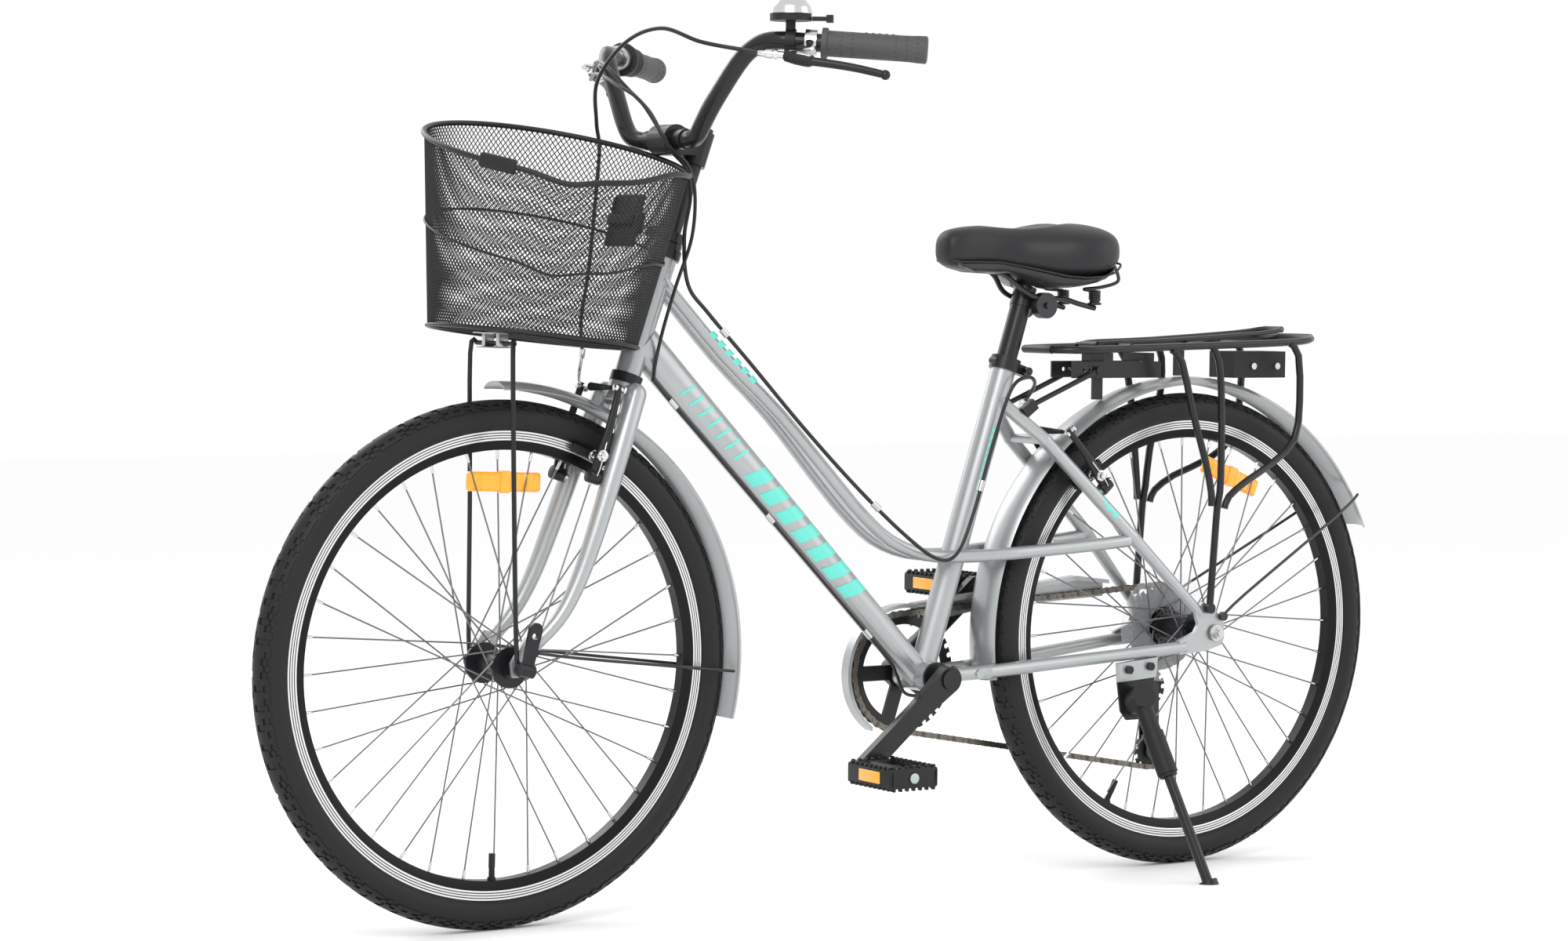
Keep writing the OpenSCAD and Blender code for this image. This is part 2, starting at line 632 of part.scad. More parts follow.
module rim(cx) {
    w = rim_w / 2;
    translate([cx, 0, 0]) rotate([90, 0, 0]) rotate_extrude($fn = 180) polygon([
        [rim_r, w], [rim_r - 12.5, w], [rim_r - 24.5, w - 5], [rim_r - 24.5, 5 - w], [rim_r - 12.5, -w], [rim_r, -w],
        [rim_r, 2 - w], [rim_r - 11.5, 2 - w], [rim_r - 22, 6.6 - w], [rim_r - 22, w - 6.6], [rim_r - 11.5, w - 2],
        [rim_r, w - 2]]);
}

// Three-cross lacing between flanges at y = fl and y = fr
module spokes(cx, fl, fr) {
    translate([cx, 0, 0]) for (k = [0 : spoke_count - 1]) let (
        left = k % 2 == 0, dir = floor(k / 2) % 2 == 0 ? 1 : -1, a = 360 * k / spoke_count, h = a + 60 * dir,
        fy = (left ? fl : fr) + 2.4 * dir, ry = (left ? 2.5 : -2.5) + 0.8 * dir, re = rim_r - 24.9)
        rod([25.6 * cos(h), fy, 25.6 * sin(h)], [re * cos(a), ry, re * sin(a)], spoke_d, $fn = 13);
}

module front_tyre() color("black") tyre(wheelbase);
module front_rim() color("black") rim(wheelbase);
module front_spokes() color("silver") spokes(wheelbase, 33, -33);
module rear_tyre() color("black") tyre(0);
module rear_rim() color("black") rim(0);
module rear_spokes() color("silver") spokes(0, 34, -28);

module front_hub() color("silver") difference() {
    union() {
        barrel(wheelbase, 0, -40, 40, 26);
        barrel(wheelbase, 0, 31, 35, 50);
        barrel(wheelbase, 0, -35, -31, 50);
    }
    barrel(wheelbase, 0, -41, 41, front_axle_d + 2 * running_fit);
}

module front_axle() color("dimgray") {
    barrel(wheelbase, 0, -stay_y - eyelet_t - 6, stay_y + eyelet_t + 4, front_axle_d);
    both_sides() {
        barrel(wheelbase, 0, 40 + gap, front_spacing / 2, 17);
        barrel(wheelbase, 0, stay_y + eyelet_t, stay_y + eyelet_t + 4, 19);
    }
}

// Quick-release lever that flips over on its cam; its blade has a hole near the end
module front_qr_lever() color("silver") difference() {
    c = [wheelbase, qr_y, 0];
    union() {
        rod(c - 9 * cross(qr_blade, [0, 1, 0]), c + 9 * cross(qr_blade, [0, 1, 0]), 16);
        hull() {
            translate(c + 5 * qr_blade) rotate([-90, 0, 0]) translate([0, 0, -3]) cylinder(h = 6, d = 14, $fn = 32);
            translate(c + 50 * qr_blade) rotate([-90, 0, 0]) translate([0, 0, -3]) cylinder(h = 6, d = 17, $fn = 32);
        }
    }
    translate(c + 42 * qr_blade) rotate([-90, 0, 0]) translate([0, 0, -4]) cylinder(h = 8, d = 8);
}

// ---------------------------------------------------------------- fork and stem
crown = head_pt(head_low - 23);
blade_path = curve([crown + [3, 36, -2], head_pt(280) + [6, 47.5, 0], head_pt(180) + [8, 54, 0], head_pt(110) + [12, 56, 0],
    head_pt(60) + [24, 56, 0], [wheelbase - 10, front_spacing / 2 + 1, 16]], 4);

front_post = [956, 44, 228];
front_up = unit([-0.3, 0.012, 0.95]);
front_pin = unit([0.95, 0, 0.3]);
rear_post = [166.5, 42, 199.5];
rear_up = unit([0.65, 0.02, 0.76]);
rear_pin = unit([0.76, 0, -0.65]);

module fork() color("silver") difference() {
    union() {
        on_head() translate([0, 0, head_low - 34]) cylinder(h = 21.6, d = 38);
        on_head() translate([0, 0, head_low - 20]) cylinder(h = head_tube_len + 24, d = 25.4);
        hull() both_sides() translate(crown + [0, 26, -4]) sphere(d = 27, $fn = 24);
        both_sides() {
            sweep(blade_path, blade_top_d / 2, 16, blade_tip_d / 2);
            translate(crown + [3, 36, -2]) sphere(d = blade_top_d - 0.6);
            plate(front_spacing / 2, front_spacing / 2 + drop_t) difference() {
                polygon([[wheelbase - 26, 34], [wheelbase - 10, 38], [wheelbase + 10, 8], [wheelbase + 8, -10], [wheelbase - 8, -10], [wheelbase - 12, 4]]);
                translate([wheelbase, 0]) circle(d = front_axle_d + 2 * running_fit);
            }
            // Brake stud
            rod(front_post - 22 * front_pin, front_post + 8 * front_pin, 8);
        }
    }
    on_head() translate([0, 0, head_low + 6]) cylinder(h = head_tube_len, d = 22.2 + 2 * running_fit);
}

stem_top = (clamp_z - 6) / sin(head_angle);

module stem() color("black") difference() {
    union() {
        on_head() translate([0, 0, head_high - 60]) cylinder(h = stem_top - head_high + 74, d = 22.2);
        on_head() translate([0, 0, stem_top - 26]) cylinder(h = 44, d = 30);
        hull() {
            on_head() translate([0, 0, stem_top - 10]) cylinder(h = 22, d = 26, $fn = 32);
            translate([clamp_x, -17, clamp_z]) rotate([-90, 0, 0]) cylinder(h = 34, d = 38, $fn = 32);
        }
        translate([clamp_x, -21, clamp_z]) rotate([-90, 0, 0]) cylinder(h = 42, d = 38);
        on_head() translate([0, 0, stem_top + 18]) cylinder(h = 5, d = 24);
    }
    barrel(clamp_x, clamp_z, -40, 40, 25.4 + 0.02);
}

// Left half of the handlebar, from the clamp to the grip's end
bar_y1 = 190;
bar_tail = unit(grip_end - [812, bar_y1 - 2, clamp_z + bar_rise]);
bar_path = curve([[clamp_x, 40, clamp_z], [clamp_x + 1, bar_in, clamp_z], [clamp_x + 5, 78, clamp_z + 5],
    [clamp_x + 6, 92, clamp_z + 19], [clamp_x + 3, 112, clamp_z + 44], [clamp_x - 6, 150, clamp_z + 88],
    [clamp_x - 14, 170, clamp_z + 106], [clamp_x - 23, 186, clamp_z + 113.5], grip_end - 174 * bar_tail,
    grip_end - 150 * bar_tail, grip_end - 4 * bar_tail], 3);

module handlebar() color("black") {
    barrel(clamp_x, clamp_z, -44, 44, 25.4);
    both_sides() sweep(bar_path, bar_d / 2, 12);
}

module grip_shape(len) {
    difference() {
        union() {
            rod(grip_end - len * bar_tail, grip_end - 12 * bar_tail, grip_d - 2, grip_d);
            rod(grip_end - (len + 1) * bar_tail, grip_end - (len - 6) * bar_tail, grip_d + 5);
            rod(grip_end - 12.1 * bar_tail, grip_end, grip_d + 2);
        }
        rod(grip_end - (len + 4) * bar_tail, grip_end - 3.6 * bar_tail, bar_d + 0.4);
    }
}

module grip_left() color("dimgray") grip_shape(grip_len);
module grip_right() color("dimgray") mirror([0, 1, 0]) grip_shape(grip_len - 32);
module shifter() color("black") mirror([0, 1, 0]) difference() {
    union() {
        rod(grip_end - (grip_len + 1) * bar_tail, grip_end - (grip_len - 30) * bar_tail, grip_d + 3);
        rod(grip_end - (grip_len + 1) * bar_tail, grip_end - (grip_len - 8) * bar_tail, grip_d + 10);
    }
    rod(grip_end - (grip_len + 4) * bar_tail, grip_end, bar_d + 0.8);
}

// Brake lever clamp and body: forward and below the bar, by the grip
lever_side = unit([-bar_tail[1], bar_tail[0], 0]) * -1;
lever_drop = unit(lever_side * 0.8 + [0, 0, -0.62]);
mount_at = grip_end - (grip_len + 13) * bar_tail;
lever_pivot = mount_at + 34 * lever_drop;
// The lever turns on a pin across the bracket's two ears
lever_axis = unit(cross(lever_drop, bar_tail));
lever_pin_d = 5;

module brake_mount() difference() {
    union() {
        rod(mount_at - 7 * bar_tail, mount_at + 7 * bar_tail, bar_d + 9);
        hull() {
            rod(mount_at - 5 * bar_tail + 12 * lever_drop, mount_at + 5 * bar_tail + 12 * lever_drop, 14, $fn = 24);
            rod(lever_pivot - 24 * bar_tail - 4 * lever_drop, lever_pivot - 11 * bar_tail - 4 * lever_drop, 16, $fn = 24);
        }
        for (s = [-1, 1]) hull() {
            rod(lever_pivot + s * 6.2 * lever_axis, lever_pivot + s * 8.8 * lever_axis, 12, $fn = 24);
            translate(lever_pivot + s * 7.5 * lever_axis - 14 * bar_tail - 4 * lever_drop) sphere(d = 2.6, $fn = 12);
            translate(lever_pivot + s * 7.5 * lever_axis - 14 * bar_tail + 2 * lever_drop) sphere(d = 2.6, $fn = 12);
        }
        rod(lever_pivot - 9.6 * lever_axis, lever_pivot + 9.6 * lever_axis, lever_pin_d);
        rod(lever_pivot - 46 * bar_tail - 4 * lever_drop, lever_pivot - 26 * bar_tail - 4 * lever_drop, 9);
    }
    rod(mount_at - 20 * bar_tail, mount_at + 20 * bar_tail, bar_d + 0.3);
}

module brake_mount_left() color("silver") brake_mount();
module brake_mount_right() color("silver") mirror([0, 1, 0]) brake_mount();

lever_path = curve([lever_pivot - 2 * bar_tail + 5 * lever_drop, lever_pivot + 10 * bar_tail + 6 * lever_drop,
    lever_pivot + 34 * bar_tail + 9 * lever_drop, lever_pivot + 60 * bar_tail + 14 * lever_drop,
    lever_pivot + 92 * bar_tail + 23 * lever_drop], 4);

module brake_lever() difference() {
    union() {
        sweep(lever_path, 5.5, 12, 4.6);
        translate(lever_path[len(lever_path) - 1]) sphere(d = 12);
        rod(lever_pivot - 5.8 * lever_axis, lever_pivot + 5.8 * lever_axis, 10.4);
    }
    rod(lever_pivot - 7 * lever_axis, lever_pivot + 7 * lever_axis, lever_pin_d + 2 * running_fit);
}

module brake_lever_left() color("dimgray") brake_lever();
module brake_lever_right() color("dimgray") mirror([0, 1, 0]) brake_lever();

// Bell on the left of the bar, just past its upper bend
bell_at = grip_end - (grip_len + 38) * bar_tail;
bell_c = bell_at + [0, 0, 27];

module bell_base() color("black") difference() {
    union() {
        rod(bell_at - 6 * bar_tail, bell_at + 6 * bar_tail, bar_d + 7);
        translate(bell_at) cylinder(h = 27, d = 12);
        translate(bell_c - [0, 0, 3]) cylinder(h = 8, d = 50);
    }
    rod(bell_at - 14 * bar_tail, bell_at + 14 * bar_tail, bar_d + 0.8);
}

module bell_dome() color("silver") translate(bell_c + [0, 0, 5.4]) rotate_extrude($fn = 64) polygon([
    [0, 21], [10, 20], [18, 16], [23.5, 9], [26, 0], [24.6, 0], [22.2, 8.4], [17, 14.8], [9.6, 18.6], [0, 19.6]]);

module bell_lever() color("black") {
    translate(bell_c + [0, 0, -2]) rotate([0, 0, atan2(bar_tail[1], bar_tail[0])]) {
        translate([25.6, -4, -1]) cube([22, 8, 5]);
        translate([43, -6, -3]) cube([8, 12, 9]);
    }
}

// ---------------------------------------------------------------- front end fittings
module front_fender() color("silver") {
    difference() {
        fender(wheelbase, 89, 194, 52);
        on_head() translate([0, 0, head_low - 60]) cylinder(h = 60, d = 9);
    }
}

// Thin stays of the fender and thicker ones under the basket, all held at the fork ends

module front_stays() color("dimgray") {
    both_sides() {
        sweep(curve([[wheelbase - 17, stay_y + 7.6, 20], [wheelbase - 80, 58, 10], [wheelbase - 240, 42, -10],
            [wheelbase - 322, 31, -20]], 3), 2, 8);
        barrel(wheelbase - 17, 20, stay_y + 4.8, stay_y + 10.4, 10);
        sweep(curve([[wheelbase + 2, stay_y + eyelet_t / 2, 6], [wheelbase + 6, stay_y + eyelet_t / 2, 30],
            [wheelbase + 8, 55, 200], [wheelbase + 10, 53, 376], [wheelbase + 4, 46, 388.6]], 4), 3, 8);
        difference() {
            barrel(wheelbase, 0, stay_y, stay_y + eyelet_t, 15);
            barrel(wheelbase, 0, stay_y - 1, stay_y + eyelet_t + 1, front_axle_d + 2 * running_fit);
        }
    }
    rod([wheelbase + 4, -46, 389], [wheelbase + 4, 46, 389], 6);
}

// Basket: an oval bowl whose rim slopes down to the left
basket_xt = 986;
basket_xb = 1017.5;
basket_floor = 397;
function basket_pt(a, t, off) = let (
    e = t, rx = lerp(127, basket_len / 2, e) - off, ry = lerp(130, basket_w / 2, e) - off,
    cx = lerp(basket_xb, basket_xt, e), x = cx + rx * cos(a), y = ry * sin(a))
    [x, y, lerp(basket_floor + 0.115 * (x - basket_xb), basket_floor + basket_h + 4 - 40 * sin(a) + 6 * cos(a), e)];

module basket() color("black") {
    n = 40;
    rows = 4;
    ring = concat([for (i = [0 : rows]) [i / rows, 0]], [for (i = [rows : -1 : 0]) [i / rows, 3]]);
    m = len(ring);
    pts = concat([for (r = ring) for (j = [0 : n - 1]) basket_pt(360 * j / n, r[0], r[1]) + [0, 0, r[0] == 0 && r[1] > 0 ? 3 : 0]]);
    faces = concat([[for (j = [0 : n - 1]) j]],
        [for (i = [0 : m - 2]) for (j = [0 : n - 1]) let (k = (j + 1) % n)
            [i * n + j, (i + 1) * n + j, (i + 1) * n + k, i * n + k]],
        [[for (j = [n - 1 : -1 : 0]) (m - 1) * n + j]]);
    polyhedron(pts, faces, convexity = 10);
    // Rolled rim
    sweep([for (j = [0 : n]) basket_pt(360 * j / n, 1, 1.5)], 4, 8);
}

module basket_bracket() color("black") {
    // Block between the head tube's top and the basket's back
    difference() {
        union() {
            on_head() translate([0, 0, head_high + 21]) cylinder(h = 12, d = 34);
            on_head() translate([8, -16, head_high + 21]) cube([19, 32, 12]);
        }
        on_head() translate([0, 0, head_high]) cylinder(h = 60, d = 22.2 + 0.4);
    }
}

// ---------------------------------------------------------------- brakes
// Each arm stands on its post and holds a shoe just clear of the rim
pad_y = rim_w / 2 + 2.4 + 4;

module arm(post, up, pin, axle_x, reach) {
    p = post + reach * up;
    lean = atan2(p[2], p[0] - axle_x);
    difference() {
        union() {
            rod(post, post + 92 * up, 12, 9);
            rod(post - 7 * pin, post + 7 * pin, 17);
            rod([p[0], pad_y + 2, p[2]], [p[0], post[1], p[2]], 6);
            translate([p[0], pad_y, p[2]]) rotate([0, -lean, 0]) cube([9, 8, 52], center = true);
        }
        rod(post - 10 * pin, post + 10 * pin, 8 + 2 * running_fit);
    }
}

module front_arm_left() color("black") arm(front_post, front_up, front_pin, wheelbase, 27);
module front_arm_right() color("black") {
    mirror([0, 1, 0]) arm(front_post, front_up, front_pin, wheelbase, 27);
    // Curved cable guide at the top
    sweep(curve([front_post + 90 * front_up + [0, -88, 0], front_post + 90 * front_up + [0, -102, 2],
        front_post + 90 * front_up + [0, -112, 18], front_post + 90 * front_up + [-2, -104, 42]], 3), 2.6, 8);
}

module rear_arm_left() color("black") arm(rear_post, rear_up, rear_pin, 0, 20);
module rear_arm_right() color("black") mirror([0, 1, 0]) arm(rear_post, rear_up, rear_pin, 0, 20);

// ---------------------------------------------------------------- cables
front_cable_pts = [lever_pivot - 47 * bar_tail - 4 * lever_drop, lever_pivot - 76 * bar_tail + [0, -8, 6],
    [876, 150, 752], [894, 90, 770], [902, 20, 756], [900, -50, 712], [868, -106, 664], [854, -122, 630], [852, -134, 568], [862, -132, 480],
    [884, -116, 400], [926, -72, 372]];
rear_brake_pts = [[826, -185, 732], [846, -140, 742], [862, -90, 732], [862, -42, 704], [855, 0, 674], [848, 24, 640],
    [837, 30, 622], [820, 31, 604], [813, 30, 570], [820, 28, 520], [812, 25, 462], [780, 23, 426], [720, 24, 366],
    [640, 28, 283], [560, 34, 205], [490, 40, 144], [440, 42, 112], [408, 42, 118], [378, 36, 170], [345, 32, 260],
    [318, 34, 330], [290, 32, 345], [262, 10, 335], [248, -30, 310]];
shift_pts = [[822, -200, 722], [846, -150, 726], [864, -100, 722], [872, -50, 708], [870, 0, 688], [862, 34, 652],
    [848, 42, 628], [826, 44, 608], [814, 42, 575], [814, 36, 520], [832, 29, 460], [850, 26, 400], [854, 15, 350],
    [841.7, 9, 333.5], [755.1, 9, 246.8], [668.6, 9, 159.9], [582.2, 9, 73.1], [495.6, 8, -13.7], [477, 6, -38], [462, 4, -64],
    [434, 0, -70], [400, -14, -66], [345, -30, -54], [200, -50, -43], [70, -68, -36], [30, -84, -46]];

module front_cable() color("black") sweep(curve(front_cable_pts, 3), 2.5, 6);
module rear_cables() color("black") {
    sweep(curve(rear_brake_pts, 2), 2.5, 6);
    sweep(curve(shift_pts, 2), 2.2, 6);
}

module cable_stops() color("silver") {
    // Clips that hold the cables to the frame
    for (c = [[[780, 23, 426], [720, 24, 366]], [[560, 34, 205], [490, 40, 144]], [[378, 36, 170], [345, 32, 260]]])
        rod(lerp(c[0], c[1], 0.3), lerp(c[0], c[1], 0.45), 9);
    for (t = [0.04, 0.46, 0.9]) rod(lerp([841.7, 9, 333.5], [495.6, 8, -13.7], t), lerp([841.7, 9, 333.5], [495.6, 8, -13.7], t + 0.03), 8);
}

// ---------------------------------------------------------------- seat
post_base = seat_top + post_out;

module seat_post() color("black") on_seat() {
    difference() {
        translate([0, 0, 190]) cylinder(h = post_base - 190, d = post_d);
        translate([0, 0, 180]) cylinder(h = post_base - 200, d = post_d - 5);
    }
    translate([0, 0, post_base - 24]) cylinder(h = 28, d = 30);
}

// Saddle frame: nose on +X; the clamp's bolt is the tilt axis
tilt_c = seat_pt(post_base - 6) + [-16, 0, -15];

module saddle_rails() color("dimgray") {
    // Clamp cheeks, bolt and the two rails
    difference() {
        both_sides() barrel(tilt_c[0], tilt_c[2], 16, 30, 34);
        barrel(tilt_c[0], tilt_c[2], -31, 31, 8.4);
    }
    barrel(tilt_c[0], tilt_c[2], -34, 34, 8);
    both_sides() sweep(curve([[330, 8, 486], [312, 14, 476], [292, 24, 458], [270, 26, 449], [230, 26, 448],
        [208, 30, 442], [182, 34, 436]], 3), 3.5, 8);
}

module saddle_springs() color("black") both_sides() {
    translate([183, 34, 444.6]) cylinder(h = 14, d = 14);
    translate([183, 34, 444.6]) cylinder(h = 3.4, d = 19);
    sweep(curve([[188, 34, 459], [207, 42, 461], [186, 56, 464], [166, 60, 472], [176, 64, 496]], 3), 2.4, 8);
}

// Outline of the saddle: half width at distance t (0 at the nose, 1 at the rear)
function saddle_half(t) = t < 0.42 ? 20 + 16 * t / 0.42 : t < 0.82 ? lerp(36, saddle_w / 2, pow(sin(90 * (t - 0.42) / 0.4), 1.4))
    : saddle_w / 2 * sqrt(max(0.05, 1 - pow((t - 0.82) / 0.2, 2)));
saddle_x1 = 412;

module saddle_slab(z0, z1, inset, drop) {
    pts = concat([for (t = [0 : 0.06 : 1]) [saddle_x1 - inset - t * (saddle_len - 2 * inset), saddle_half(t) - inset]],
        [for (t = [0.96 : -0.06 : 0]) [saddle_x1 - inset - t * (saddle_len - 2 * inset), -saddle_half(t) + inset]]);
    translate([0, 0, z0]) linear_extrude(z1 - z0) polygon(pts);
}

module saddle_shell() color("black") saddle_slab(496, 506, 8, 0);
module saddle_cushion() color("black") saddle_slab(506.4, 546, 0, 0);

place() frame();
place() bearings();
place() seat_collar();
place() rear_rack();
place() rack_fittings();
place() rear_reflector();
place() rear_fender();
place() rear_fender_stays();
place() chain_guard();
place() kickstand_bracket();
place() derailleur();
place() chain();
place() rear_axle();
place() rear_cables();
place() cable_stops();
place() seat_post();
place() saddle_rails();
place() saddle_shell();
place() saddle_cushion();
place() saddle_springs();
place() fork();
place() stem();
place() handlebar();
place() grip_left();
place() grip_right();
place() brake_mount_left();
place() brake_mount_right();
place() bell_base();
place() bell_dome();
place() front_fender();
place() basket();
place() front_stays();
place() basket_bracket();
place() front_axle();
place() front_cable();
place() shifter();
place() brake_lever_left();
place() brake_lever_right();
place() bell_lever();
place() front_qr_lever();
place() front_arm_left();
place() front_arm_right();
place() rear_arm_left();
place() rear_arm_right();
place() front_tyre();
place() front_rim();
place() front_spokes();
place() front_hub();
place() rear_tyre();
place() rear_rim();
place() rear_spokes();
place() rear_hub();
place() crankset();
place() pedal_left();
place() pedal_right();
place() freewheel();
place() jockey_guide();
place() jockey_tension();
place() stand_sleeve();
place() stand_foot();
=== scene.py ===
import math

import bmesh
import bpy
from mathutils import Matrix, Vector


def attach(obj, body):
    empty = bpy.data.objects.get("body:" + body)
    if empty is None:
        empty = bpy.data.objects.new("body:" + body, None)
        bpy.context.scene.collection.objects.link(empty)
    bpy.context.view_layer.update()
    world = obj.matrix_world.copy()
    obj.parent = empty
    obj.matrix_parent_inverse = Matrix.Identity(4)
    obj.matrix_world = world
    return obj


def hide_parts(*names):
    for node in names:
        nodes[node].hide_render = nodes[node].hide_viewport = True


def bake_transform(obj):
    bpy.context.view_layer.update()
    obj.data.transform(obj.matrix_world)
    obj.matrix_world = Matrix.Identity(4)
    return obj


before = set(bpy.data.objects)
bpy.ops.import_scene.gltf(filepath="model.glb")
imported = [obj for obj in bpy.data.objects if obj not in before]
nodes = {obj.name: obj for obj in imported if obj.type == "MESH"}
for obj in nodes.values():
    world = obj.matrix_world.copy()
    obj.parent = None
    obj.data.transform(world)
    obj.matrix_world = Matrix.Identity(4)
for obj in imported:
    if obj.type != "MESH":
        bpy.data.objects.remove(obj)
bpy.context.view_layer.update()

# The room: a pale floor, a soft key light high on the left of the bicycle, a wide fill
# and a rim light behind. The camera stands low, ahead of the bicycle and to its left.
scene = bpy.context.scene
scene.view_settings.view_transform = "Standard"
world = bpy.data.worlds.new("studio_air")
scene.world = world
world.use_nodes = True
world.node_tree.nodes["Background"].inputs[0].default_value = (1.0, 1.0, 1.0, 1.0)
world.node_tree.nodes["Background"].inputs[1].default_value = 1.02
bpy.ops.object.select_all(action="DESELECT")
bpy.ops.mesh.primitive_plane_add(size=60, location=(0, 0, 0))
floor = bpy.context.object
floor.name = "studio_floor"
floor_paint = bpy.data.materials.new("floor_paint")
floor_paint.use_nodes = True
floor_shader = floor_paint.node_tree.nodes["Principled BSDF"]
floor_shader.inputs["Base Color"].default_value = (0.96, 0.96, 0.96, 1)
floor_shader.inputs["Roughness"].default_value = 0.9
floor.data.materials.append(floor_paint)
for light_name, light_place, light_aim, light_size, light_power in (
    ("key_light", (2.6, 3.0, 3.4), (0, 0, 0.5), 2.4, 85),
    ("fill_light", (-3.2, 2.6, 2.0), (0, 0, 0.6), 3.0, 30),
    ("rim_light", (0.5, -3.6, 2.8), (0, 0, 0.6), 2.6, 50),
):
    lamp_data = bpy.data.lights.new(light_name, "AREA")
    lamp_data.shape = "SQUARE"
    lamp_data.size = light_size
    lamp_data.energy = light_power
    lamp = bpy.data.objects.new(light_name, lamp_data)
    lamp.location = light_place
    aim = Vector(light_aim) - Vector(light_place)
    lamp.rotation_euler = aim.to_track_quat("-Z", "Y").to_euler()
    scene.collection.objects.link(lamp)
camera_data = bpy.data.cameras.new("camera")
camera_data.lens = 85.822
camera_data.sensor_width = 36
camera_data.clip_end = 200
camera = bpy.data.objects.new("camera", camera_data)
camera.location = (2.7225, 3.9377, 0.6574)
camera.rotation_euler = (math.radians(88.6888), math.radians(0.4399), math.radians(146.6328))
scene.collection.objects.link(camera)
scene.camera = camera


# Painted frame: welded steel tubes in metallic silver paint. Pieces are drawn as the
# bicycle stands upright, in millimetres from the rear axle, and then leaned onto the stand.
lean = math.radians(2.0)
wheelbase = 1064
crank_length = 170
upright = (
    Matrix.Translation((-0.532, -0.744 * math.sin(lean), 0.2995 * math.cos(lean) + 0.022))
    @ Matrix.Rotation(-lean, 4, "X")
)
mm = Matrix.Scale(0.001, 4)


def lean_over(piece, body, cad=()):
    """Moves an upright piece, drawn in millimetres, onto its stand and hangs it on its body."""
    piece.data.transform(upright @ mm @ piece.matrix_world)
    piece.matrix_world = Matrix.Identity(4)
    piece.location = (0, 0, 0)
    piece.rotation_euler = (0, 0, 0)
    piece.scale = (1, 1, 1)
    if body:
        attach(piece, body)
    if cad:
        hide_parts(*cad)
    return piece


def add_node(tree, kind, **values):
    """A new node of the tree, with its sockets set; _ in a name stands for a space."""
    node = tree.nodes.new("ShaderNode" + kind)
    for socket, value in values.items():
        node.inputs[socket.replace("_", " ")].default_value = value
    return node


def surface(name, colour, rough, metal=0.0, second=None, grain=900.0, bump=0.05, coat=0.0,
            blotch=14.0, rough_spread=0.08, specular=0.5, stretch=(1, 1, 1)):
    """Finish with slow colour change, a fine grain in the relief and an uneven gloss."""
    m = bpy.data.materials.new(name)
    m.use_nodes = True
    t = m.node_tree
    p = t.nodes["Principled BSDF"]
    p.inputs["Metallic"].default_value = metal
    p.inputs["Coat Weight"].default_value = coat
    p.inputs["Coat Roughness"].default_value = 0.12
    p.inputs["Specular IOR Level"].default_value = specular
    place = add_node(t, "TexCoord")
    turn = add_node(t, "Mapping", Scale=stretch)
    slow = add_node(t, "TexNoise", Scale=blotch, Detail=4)
    fine = add_node(t, "TexNoise", Scale=grain, Detail=2)
    blend = t.nodes.new("ShaderNodeMix")
    blend.data_type = "RGBA"
    blend.inputs[6].default_value = (*colour, 1)
    blend.inputs[7].default_value = (*(second or [c * 0.8 for c in colour]), 1)
    wear = t.nodes.new("ShaderNodeMath")
    wear.operation = "MULTIPLY_ADD"
    wear.inputs[1].default_value = 0.6
    wear.inputs[2].default_value = 0.0
    grit = t.nodes.new("ShaderNodeMath")
    grit.operation = "MULTIPLY_ADD"
    grit.inputs[1].default_value = 0.4
    gloss = add_node(t, "MapRange", To_Min=max(0.02, rough - rough_spread),
                     To_Max=min(1.0, rough + rough_spread))
    relief = add_node(t, "Bump", Strength=bump, Distance=0.0006)
    link = t.links.new
    link(place.outputs["Object"], turn.inputs["Vector"])
    link(turn.outputs[0], slow.inputs["Vector"])
    link(turn.outputs[0], fine.inputs["Vector"])
    link(slow.outputs["Fac"], wear.inputs[0])
    link(fine.outputs["Fac"], grit.inputs[0])
    link(wear.outputs[0], grit.inputs[2])
    link(grit.outputs[0], blend.inputs[0])
    link(blend.outputs[2], p.inputs["Base Color"])
    link(slow.outputs["Fac"], gloss.inputs["Value"])
    link(gloss.outputs[0], p.inputs["Roughness"])
    link(fine.outputs["Fac"], relief.inputs["Height"])
    link(relief.outputs[0], p.inputs["Normal"])
    return m


def pick(piece):
    """Makes the piece the only selected object, and the active one."""
    bpy.ops.object.select_all(action="DESELECT")
    piece.select_set(True)
    bpy.context.view_layer.objects.active = piece


def refine(node, finish, body, angle=38):
    """A CAD tube or casting with its facets welded and shaded smooth, in its own finish."""
    piece = nodes[node].copy()
    piece.data = nodes[node].data.copy()
    piece.name = node + "_smooth"
    scene.collection.objects.link(piece)
    piece.parent = None
    piece.matrix_world = Matrix.Identity(4)
    piece.data.materials.clear()
    piece.data.materials.append(finish)
    pick(piece)
    bpy.ops.object.mode_set(mode="EDIT")
    bpy.ops.mesh.select_all(action="SELECT")
    bpy.ops.mesh.remove_doubles(threshold=0.00002)
    bpy.ops.mesh.dissolve_degenerate(threshold=0.00001)
    bpy.ops.object.mode_set(mode="OBJECT")
    if piece.data.has_custom_normals:
        bpy.ops.mesh.customdata_custom_splitnormals_clear()
    bpy.ops.object.shade_smooth_by_angle(angle=math.radians(angle))
    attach(piece, body)
    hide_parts(node)
    return piece


silver_paint = surface("silver_paint", (0.43, 0.445, 0.45), 0.33, metal=0.62, second=(0.37, 0.385, 0.39),
                       grain=2600, bump=0.06, coat=0.45, blotch=9)
refine("frame", silver_paint, "frame")
refine("fork", silver_paint, "front_end")


